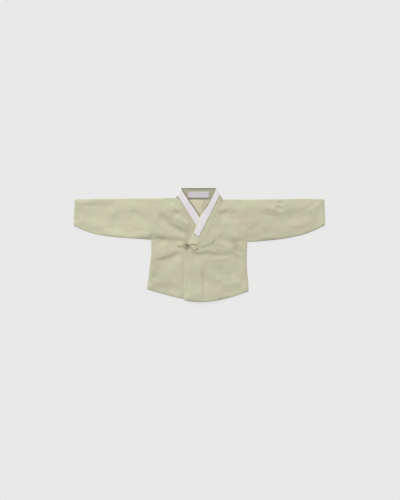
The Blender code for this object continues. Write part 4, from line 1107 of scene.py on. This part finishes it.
def make_back():
    """Make the two halves of the back, flat on the floor, and the lining seen in the neck."""

    def inset(armpit_y, y):
        return HALF_GAP + ramp(armpit_y - y, BACK_SIDE) * (BACK_EDGE_INSET - HALF_GAP)

    def right_side(y):
        return right_side_x(y) + inset(RIGHT_ARMPIT_Y, y)

    def left_side(y):
        return left_side_x(y) - inset(LEFT_ARMPIT_Y, y)

    for node, left, right, turn in (
        ("back_right", right_side, CENTRE_BACK_X - HALF_GAP, 0.8),
        ("back_left", CENTRE_BACK_X + HALF_GAP, left_side, -0.8),
    ):
        x, y = panel_grid(left, right, back_top_y, lambda x: hem_y(x, BACK_HEM), *map(spaced, BACK_GRID))
        seam = CENTRE_SEAM["height"] * bell(x - CENTRE_BACK_X, CENTRE_SEAM["width"])
        hollow = np.clip(pressed_creases(x, y) + seam, 0.0, CENTRE_SEAM["limit"])
        under = np.stack((x, y, hollow), axis=-1)
        over = np.stack((x, y, WALL + 0.0 * x), axis=-1)
        place_piece(shell("cloth_" + node, over, under, flat_cut(-x, y, turn), (lining, silk)), "silk", node)

    def lining_under(x, y):
        slow = ripple(x * LINING_SOFT["scale"], y * LINING_SOFT["scale"])
        soft = LINING_SOFT["height"] + LINING_SOFT["share"] * slow
        return LAYER + np.maximum(fold_height(x, y, LINING_CREASES) + soft, 0.0)

    sides = smooth_curve(LINING_LEFT_ROWS), smooth_curve(LINING_RIGHT_ROWS)
    x, y = panel_grid(*sides, *LINING_ENDS, *map(spaced, LINING_GRID))
    made = shell("cloth_back_lining", *faces_of(x, y, lining_under), flat_cut(x, y), (lining,))
    place_piece(made, "lining", "back_lining")


def sleeve_ring(width, across):
    """List a ring's points as outer distance and height, inner distance and height."""

    def mirrored(rows):
        return [(width - row[0], row[1], width - row[2], row[3]) for row in rows[::-1]]

    ring = SLEEVE_RIM_HIGH + [(share * width, FREE, share * width, FREE) for share in across]
    ring += mirrored(SLEEVE_RIM_FULL) + mirrored(SLEEVE_RIM_LOW)
    ring += [(share * width, 0.0, share * width, WALL) for share in np.linspace(*SLEEVE_FLOOR)]
    return np.array(ring + SLEEVE_RIM_LOW)


def make_sleeve(node, arm, cuff_top_x, side, outward):
    """Make one flattened sleeve, open at the cuff and the armhole."""
    armhole_x = side(shoulder_y(side(SHOULDER_ROWS[ARMHOLE_ROW][1]))) + outward * HALF_GAP
    across = spaced(SLEEVE_GRID[0], 0.3)[1:-1]
    upper_count = 2 * len(SLEEVE_RIM_HIGH) + len(across)
    over, under, cut = [], [], []
    for share in spaced(SLEEVE_GRID[1], 0.15):
        x = cuff_top_x + (armhole_x - cuff_top_x) * share
        top = np.array((x, shoulder_y(x)))
        x = outward * SPAN / 2.0 * (1.0 - share) + (arm["x"] + outward * HALF_GAP) * share
        low = np.array((x, underarm_y(x, arm)))
        width = np.linalg.norm(low - top)
        ring = sleeve_ring(width, across)
        for face, at, height in ((over, ring[:, :1], ring[:, 1:2]), (under, ring[:, 2:3], ring[:, 3:])):
            face.append(np.hstack((top + (low - top) * at / width, height)))
        at = ring[:, 0]
        around = np.where(np.arange(len(ring)) < upper_count, at, 2.0 * width - at)
        cut.append(np.stack((over[-1][:, 0], -around), axis=-1))
    over, under = np.array(over), np.array(under)
    for face, wall, sunk in ((over, WALL, EDGE_SINK["face"]), (under, 0.0, EDGE_SINK["back"])):
        x, y, given = np.moveaxis(face, -1, 0)
        rest = sleeve_rest(x, y) + wall - sunk * edge_sink(x, y)
        laid = np.where(given == 0.0, pressed_creases(x, y), given)
        face[..., 2] = np.where(np.isnan(given), rest, laid)
    made = open_tube("cloth_" + node, over, under, np.array(cut), (silk, lining))
    place_piece(made, "silk", node)


def turn_outward(turn, side):
    """Give the level direction square to a neck turn, away from the neck."""
    run = np.array(turn["foot"]) - np.array(turn["top"])
    return side * np.array((-run[1], run[0])) / np.linalg.norm(run)


def collar_sections(first_row, last_row, per_row=8):
    """List the ribbon's sections: edge points, the turn from face up to face down, and side."""
    outer_read, inner_read = row_reader(OUTER_COLLAR_ROWS), row_reader(INNER_COLLAR_ROWS)
    outer_share, inner_share = smooth_curve(STRIP_SHARES_OUTER), smooth_curve(STRIP_SHARES_INNER)
    outer_last = len(OUTER_COLLAR_ROWS) - 1
    sections = []

    def add(edge, seam, turn, side, share, out=None, rise=0.0):
        section = dict(edge=edge, seam=seam, turn=turn, side=side, share=float(share), out=out, rise=rise)
        sections.append(section)

    def add_straight(first, last, read, share, side):
        for number in np.linspace(first, last, int(round((last - first) * per_row)) + 1):
            add(*read(number), 0.0, side, share(number))

    add_straight(first_row, outer_last, outer_read, outer_share, "outer")
    edge_left, seam_left = outer_read(outer_last)
    edge_right, seam_right = inner_read(0.0)
    left_out, right_out = turn_outward(LEFT_TURN, 1.0), turn_outward(RIGHT_TURN, -1.0)
    foot = np.array((0.0, TURN_FOOT_RISE)) / LEVEL_TURN
    turns = np.linspace(15.0, FULL_TURN, 12)
    for turn in turns:
        add(edge_left, seam_left + foot * turn, turn, "left", STRIP_SHARE_BACK, left_out)
    for share in np.linspace(0.0, 1.0, 61)[1:-1]:
        edge = edge_left * (1.0 - share) + edge_right * share
        seam = seam_left * (1.0 - share) + seam_right * share
        seam[1] = COLLAR_SEAM_Y + COLLAR_SEAM_RISE * abs(2.0 * share - 1.0) ** SEAM_BOW_POWER
        rise = smooth_step(min(share, 1.0 - share) / BACK_RISE_SHARE)
        add(edge, seam, FULL_TURN, "back", STRIP_SHARE_BACK, right_out, rise)
    for turn in turns[::-1]:
        ratio = turn / FULL_TURN
        strip_share = STRIP_SHARE_BACK * ratio + inner_share(0.0) * (1.0 - ratio)
        add(edge_right, seam_right + foot * turn, turn, "right", strip_share, right_out)
    add_straight(0.0, last_row, inner_read, inner_share, "inner")
    return sections


def band_height(section, shares):
    """Middle height of the band at shares of its width, above the panel that it is sewn on."""
    rest = outer_under if section["side"] in ("outer", "left") else inner_under
    edge, seam = section["edge"], section["seam"]
    at = edge + (seam - edge) * np.array(BAND_ACROSS)[:, None]
    pad = BAND_PAD * np.sin(math.pi * np.clip(shares, 0.0, 1.0)) ** BAND_PAD_POWER
    if section["side"] == "outer":
        pad = pad * ramp(edge[1], BAND_FLAT)
    return np.interp(shares, BAND_ACROSS, rest(at[:, 0], at[:, 1])) + LAYER + COLLAR_SLACK + WALL / 2.0 + pad


def ribbon_heights(section, shares, layer):
    """Give a section's middle heights, and the direction that its face looks in."""
    if not section["turn"]:
        return band_height(section, shares) + (LAYER + STRIP_SLACK) * layer, np.array((0.0, 0.0, 1.0))
    middle_z = 2.0 * LAYER - HALF_GAP
    radius = LAYER / 2.0 + LAYER * layer
    angle = math.radians(section["turn"])
    height = middle_z + radius * math.cos(angle) + 0.0 * shares
    if section["turn"] < UPRIGHT_TURN:
        laid = band_height(section, shares) + (LAYER + STRIP_SLACK) * layer
        height = height + (laid - middle_z - radius) * (1.0 - section["turn"] / UPRIGHT_TURN)
    height = height + BACK_COLLAR_RISE * section["rise"] * (1.0 - shares) ** COLLAR_TILT_POWER
    return height, np.array((*(section["out"] * math.sin(angle)), math.cos(angle)))


def ribbon(name, sections, across, layer, cloths, sharp):
    """Make a folded ribbon. Its layer is 0 for the band and 1 for the strip on the band's face."""
    over, under, cut, tones, middles = [], [], [], [], []
    down = np.array((0.0, 0.0, -1.0))
    for section in sections:
        edge, seam = section["edge"], section["seam"]
        width = np.linalg.norm(seam - edge)
        level = 1.0 - min(section["turn"] / LEVEL_TURN, 1.0)
        first = STRIP_INSET * level / width if layer else 0.0
        shares = first + np.asarray(across) * ((section["share"] if layer else 1.0) - first)
        height, facing = ribbon_heights(section, shares, layer)
        at = edge + (seam - edge) * shares[:, None] + facing[:2] * (LAYER / 2.0 + LAYER * layer)
        centre = np.concatenate((at, height[:, None]), axis=-1)
        middles.append(centre[len(centre) // 2])
        from_seam = (1.0 - shares) * width
        roll = level * (1 - layer) * bell(from_seam, EDGE_ROLL["reach"])[:, None] * down
        over.append(centre + facing * WALL / 2.0 + roll * EDGE_ROLL["face"])
        under.append(centre - facing * WALL / 2.0 + roll * EDGE_ROLL["back"])
        cut.append(np.stack((lengths_along(middles)[-1] + 0.0 * shares, shares * width), axis=-1))
        # Painted shade along the band's inner edge and at its seam behind the neck, and painted light on the
        # band of the outer front
        shaded, lift = 1.0, 1.0
        if section["side"] == "outer":
            shaded, lift = ramp(edge[1], BAND_SHADED), 1.0 + BAND_PAINTED_LIGHT
        shade = BAND_SHADE["edge"] * shaded * bell(shares * width, BAND_SHADE["reach"])
        shade = shade + BAND_SHADE["seam"] * section["rise"] * bell(from_seam, BAND_SHADE["reach"])
        tones.append(lift - shade)
    over = np.array(over)
    return shell(name, over, np.array(under), np.array(cut), cloths, sharp, np.array(tones)), over


def make_stitches(name, lines, length, pitch, radius, lift):
    """Sew short threads, thinner at their ends, along lines of points that lie on the cloth."""
    share = np.linspace(0.0, 1.0, 6)
    bow = np.sin(math.pi * share)
    cords = []
    for line in lines:
        along = lengths_along(line)
        count = int(along[-1] // pitch)
        for number in range(count):
            start = (number + 0.5) * along[-1] / count - length / 2.0
            start += 0.12 * pitch * math.sin(12.9898 * number + 4.1)
            points = [np.interp(start + length * share, along, line[:, axis]) for axis in range(3)]
            points[2] = points[2] + lift * bow + 0.01
            thickness = THREAD_END + (1.0 - THREAD_END) * bow ** 0.5
            cords.append(cord(np.stack(points, axis=-1), radius * thickness, 6, False))
    return cord_piece(name, cords, thread)


def label_under(x, y):
    """Underside of the label, on the tilted band at the back of the neck."""
    share = (y - COLLAR_SEAM_Y) / (LEFT_TURN["top"][1] - COLLAR_SEAM_Y)
    tilt = BACK_COLLAR_RISE * share ** COLLAR_TILT_POWER
    soft = LABEL_SOFT["height"] + LABEL_SOFT["wave"] * np.sin(x / LABEL_SOFT["length"])
    slant = y / LABEL_SOFT["cross_length"] + x / LABEL_SOFT["slant"]
    return 2.0 * LAYER + tilt + soft + LABEL_SOFT["cross"] * np.sin(slant)


def make_collar():
    """Make the collar band, the white strip on its face, the label inside the neck, and their sewing."""
    across = 0.5 - 0.5 * np.cos(math.pi * np.linspace(0.0, 1.0, BAND_POINTS))
    band = collar_sections(0.0, len(INNER_COLLAR_ROWS) - 1.0)
    place_piece(ribbon("cloth_collar", band, across, 0, (silk, silk_inside_painted_shade), 60.0)[0], "silk", "collar")
    strip = collar_sections(STRIP_FIRST_ROW, STRIP_LAST_ROW)
    across = np.linspace(0.0, 1.0, STRIP_POINTS)
    made, strip_face = ribbon("cloth_collar_strip", strip, across, 1, (white,), 45.0)
    place_piece(made, "strip", "collar_strip")

    x, y = panel_grid(*(LABEL[side] for side in ("left", "right", "top", "bottom")), *map(spaced, LABEL_GRID))
    made = shell("cloth_label", *faces_of(x, y, label_under), flat_cut(x, y), (tape,))
    place_piece(made, "label", "label")
    left, right = LABEL["left"] + LABEL_INSET, LABEL["right"] - LABEL_INSET
    top, bottom = LABEL["top"] - LABEL_INSET, LABEL["bottom"] + LABEL_INSET
    corners = [(left, top), (right, top), (right, bottom), (left, bottom), (left, top)]
    lines = []
    for start, end in zip(corners[:-1], corners[1:]):
        x, y = np.linspace(start, end, 24).T
        lines.append(np.stack((x, y, label_under(x, y) + WALL), axis=-1))
    place_piece(make_stitches("label_sewing", lines, *LABEL_SEWING), "label")

    turned = [number for number, section in enumerate(strip) if section["turn"]]
    lines = []
    for column in (1, -2):
        lines += [strip_face[1:turned[0], column], strip_face[turned[-1] + 1:-1, column]]
    place_piece(make_stitches("strip_sewing", lines, *STRIP_SEWING), "strip")


LOOSE_RADIUS = 0.8
CORD_LIFT = 0.12
CORD_REST = WALL + CORD_LIFT + LOOSE_RADIUS
# The two strands that run from the tail loop to the ball, and how the other loop rises over them
STALK = dict(radius=0.65, aside=0.68, inside=2.4, start=0.6, rise=2.4, reach=2.9, climb=0.9)
STALK_CLIMB = (0.55, 0.45)
LOOP_OVER = (2.0, 1.0)
# The woven ball: a strand that winds round and up and down, and the core inside it
BALL = dict(reach=3.3, wave=0.42, tilt=56.0, weaves=4, winds=3, start=0.3, strand=1.05)
CORE = dict(half_height=2.9, radius=3.2, ends=88.0)


def make_knot(band_top):
    """Make the ball of rolled cord, woven over and under itself, on a small core."""
    middle = np.array((KNOT["x"], KNOT["y"], band_top + SEAM_GAP + KNOT["half_height"]))
    steps = np.linspace(0.0, ROUND, 220, endpoint=False)
    latitude = math.radians(BALL["tilt"]) * np.sin(BALL["weaves"] * steps)
    longitude = BALL["winds"] * steps + BALL["start"]
    reach = BALL["reach"] + BALL["wave"] * np.sin(2.0 * BALL["weaves"] * steps)
    level = reach * np.cos(latitude)
    height = reach * np.sin(latitude) * KNOT["half_height"] / KNOT["radius"]
    path = np.stack((level * np.cos(longitude), level * np.sin(longitude), height), axis=-1)
    rise = CORE["half_height"] * np.sin(np.radians(np.linspace(-90.0, 90.0, 13)))
    core = middle + rise[:, None] * np.array((0.0, 0.0, 1.0))
    radii = CORE["radius"] * np.cos(np.radians(np.linspace(-CORE["ends"], CORE["ends"], 13)))
    cords = [cord(path + middle, BALL["strand"]), cord(core, radii, 16, False)]
    place_piece(cord_piece("knot_ball", cords, knot_cord_painted_shade), "cord", "knot_button")


def loop_plan():
    """List the loop's points from above: round the knot, along the neck, and round the eye."""

    def bend(middle, reach_x, reach_y, start, end, count):
        angles = np.radians(np.linspace(start, end, count))
        return list(zip(middle["x"] + reach_x * np.cos(angles), middle["y"] + reach_y * np.sin(angles)))

    points = bend(KNOT, NOOSE["radius"], NOOSE["radius"], -NOOSE["turn"], NOOSE["turn"], 15)
    points += [(x, middle + half) for x, middle, half in NECK_ROWS]
    points += bend(EYE, EYE["half_length"], EYE["half_width"], EYE["open"], 360.0 - EYE["open"], 13)
    return points + [(x, middle - half) for x, middle, half in reversed(NECK_ROWS)]


def rounded(points, rounds):
    """Smooth a closed path by cutting its corners."""
    points = np.asarray(points, dtype=float)
    for _ in range(rounds):
        after = np.roll(points, -1, axis=0)
        cuts = (0.75 * points + 0.25 * after, 0.25 * points + 0.75 * after)
        points = np.stack(cuts, axis=1).reshape(-1, 3)
    return points


def make_button():
    """Make the knotted ball, the loop round it, and the tail loop with the strands that hold it."""
    band_top = float(outer_under(KNOT["x"] + NOOSE["radius"], KNOT["y"])) + LAYER + COLLAR_SLACK + WALL
    make_knot(band_top)
    high = band_top + CORD_LIFT + LOOSE_RADIUS
    tilt = math.radians(TAIL["tilt"])
    tip_y = TAIL["y"] - TAIL["half_length"] * math.sin(tilt)
    path = []
    for x, y in loop_plan():
        low = float(inner_under(x, y)) + CORD_REST
        near = bell(y - (KNOT["y"] + 2.0 * tip_y) / 3.0, STALK["reach"])
        over = STALK["rise"] * near * ramp(x - KNOT["x"], LOOP_OVER)
        path.append((x, y, low + (high - low) * ramp(x, CLIMB) + over))
    made = cord_piece("knot_loop", [cord(rounded(path, 3), LOOSE_RADIUS, 14)], loose)
    place_piece(made, "cord", "button_loop")

    path = []
    for angle in np.linspace(0.0, ROUND, 40, endpoint=False):
        along, aside = TAIL["half_length"] * math.cos(angle), TAIL["half_width"] * math.sin(angle)
        x = TAIL["x"] + along * math.cos(tilt) - aside * math.sin(tilt)
        y = TAIL["y"] + along * math.sin(tilt) + aside * math.cos(tilt)
        x += (TAIL_TIP_X - x) * ramp(-math.cos(angle), TAIL_PULL)
        path.append((x, y, float(outer_under(x, y)) + LAYER + COLLAR_SLACK + CORD_REST))
    cords = [cord(rounded(path, 2), LOOSE_RADIUS, 14)]
    share = np.linspace(0.0, 1.0, 14)
    start_x = TAIL_TIP_X + STALK["start"]
    for side in (-STALK["aside"], STALK["aside"]):
        x = start_x + share * (KNOT["x"] + STALK["inside"] - start_x)
        y = tip_y + side + share * (KNOT["y"] - tip_y - 0.3 * side)
        z = high + STALK["climb"] * ramp(share, STALK_CLIMB)
        cords.append(cord(np.stack((x, y, z), axis=-1), STALK["radius"], 12, False))
    place_piece(cord_piece("knot_tail", cords, loose), "cord", "button_tail")


make_back()
make_fronts()
make_sleeve("sleeve_right", RIGHT_UNDERARM, RIGHT_CUFF_TOP_X, right_side_x, -1.0)
make_sleeve("sleeve_left", LEFT_UNDERARM, LEFT_CUFF_TOP_X, left_side_x, 1.0)
make_collar()
make_button()

# Paper that the jacket lies on, a hair below it
FLOOR_REACH = 3.0
FLOOR_Z = -0.00005
corners = [(-1, -1), (1, -1), (1, 1), (-1, 1)]
floor_mesh = bpy.data.meshes.new("floor")
floor_mesh.from_pydata([(FLOOR_REACH * x, FLOOR_REACH * y, 0.0) for x, y in corners], [], [(0, 1, 2, 3)])
floor = bpy.data.objects.new("floor", floor_mesh)
bpy.context.collection.objects.link(floor)
floor.location.z = FLOOR_Z
paper = Looks("paper")
paper.shade(Base_Color=(0.14, 0.14, 0.14), Roughness=0.9, Specular_IOR_Level=0.1)
paper.shade(Emission_Color=(1.0, 1.0, 0.996), Emission_Strength=0.68)
floor_mesh.materials.append(paper.material)

# Soft light from the upper left, a little stronger than the even light all round
world = bpy.data.worlds.new("studio")
bpy.context.scene.world = world
world.use_nodes = True
world.node_tree.nodes["Background"].inputs["Color"].default_value = (0.97, 0.985, 1.0, 1.0)
world.node_tree.nodes["Background"].inputs["Strength"].default_value = 0.3
for name, strength, direction in (
    ("lamp_above", 2.9, (0.12, -0.86, -0.55)),
    ("lamp_left", 0.75, (0.86, -0.28, -0.6)),
):
    lamp = bpy.data.lights.new(name, "SUN")
    lamp.energy = strength
    lamp.angle = math.radians(24.0)
    lamp.color = (1.0, 0.985, 0.965)
    made = bpy.data.objects.new(name, lamp)
    bpy.context.collection.objects.link(made)
    made.rotation_euler = Vector(direction).to_track_quat("-Z", "Y").to_euler()

# Camera straight above, far off with a long lens, as the photograph was taken
CAMERA_X = 0.0018
CAMERA_Y = -0.0133
CAMERA_HEIGHT = 5.0
VIEW_HEIGHT = 1.43255
SENSOR = 36.0
lens = bpy.data.cameras.new("camera")
lens.sensor_width = SENSOR
lens.lens = SENSOR * CAMERA_HEIGHT / VIEW_HEIGHT
lens.clip_end = 50.0
camera = bpy.data.objects.new("camera", lens)
bpy.context.collection.objects.link(camera)
camera.location = (CAMERA_X, CAMERA_Y, CAMERA_HEIGHT)
bpy.context.scene.camera = camera
bpy.context.scene.view_settings.view_transform = "Standard"
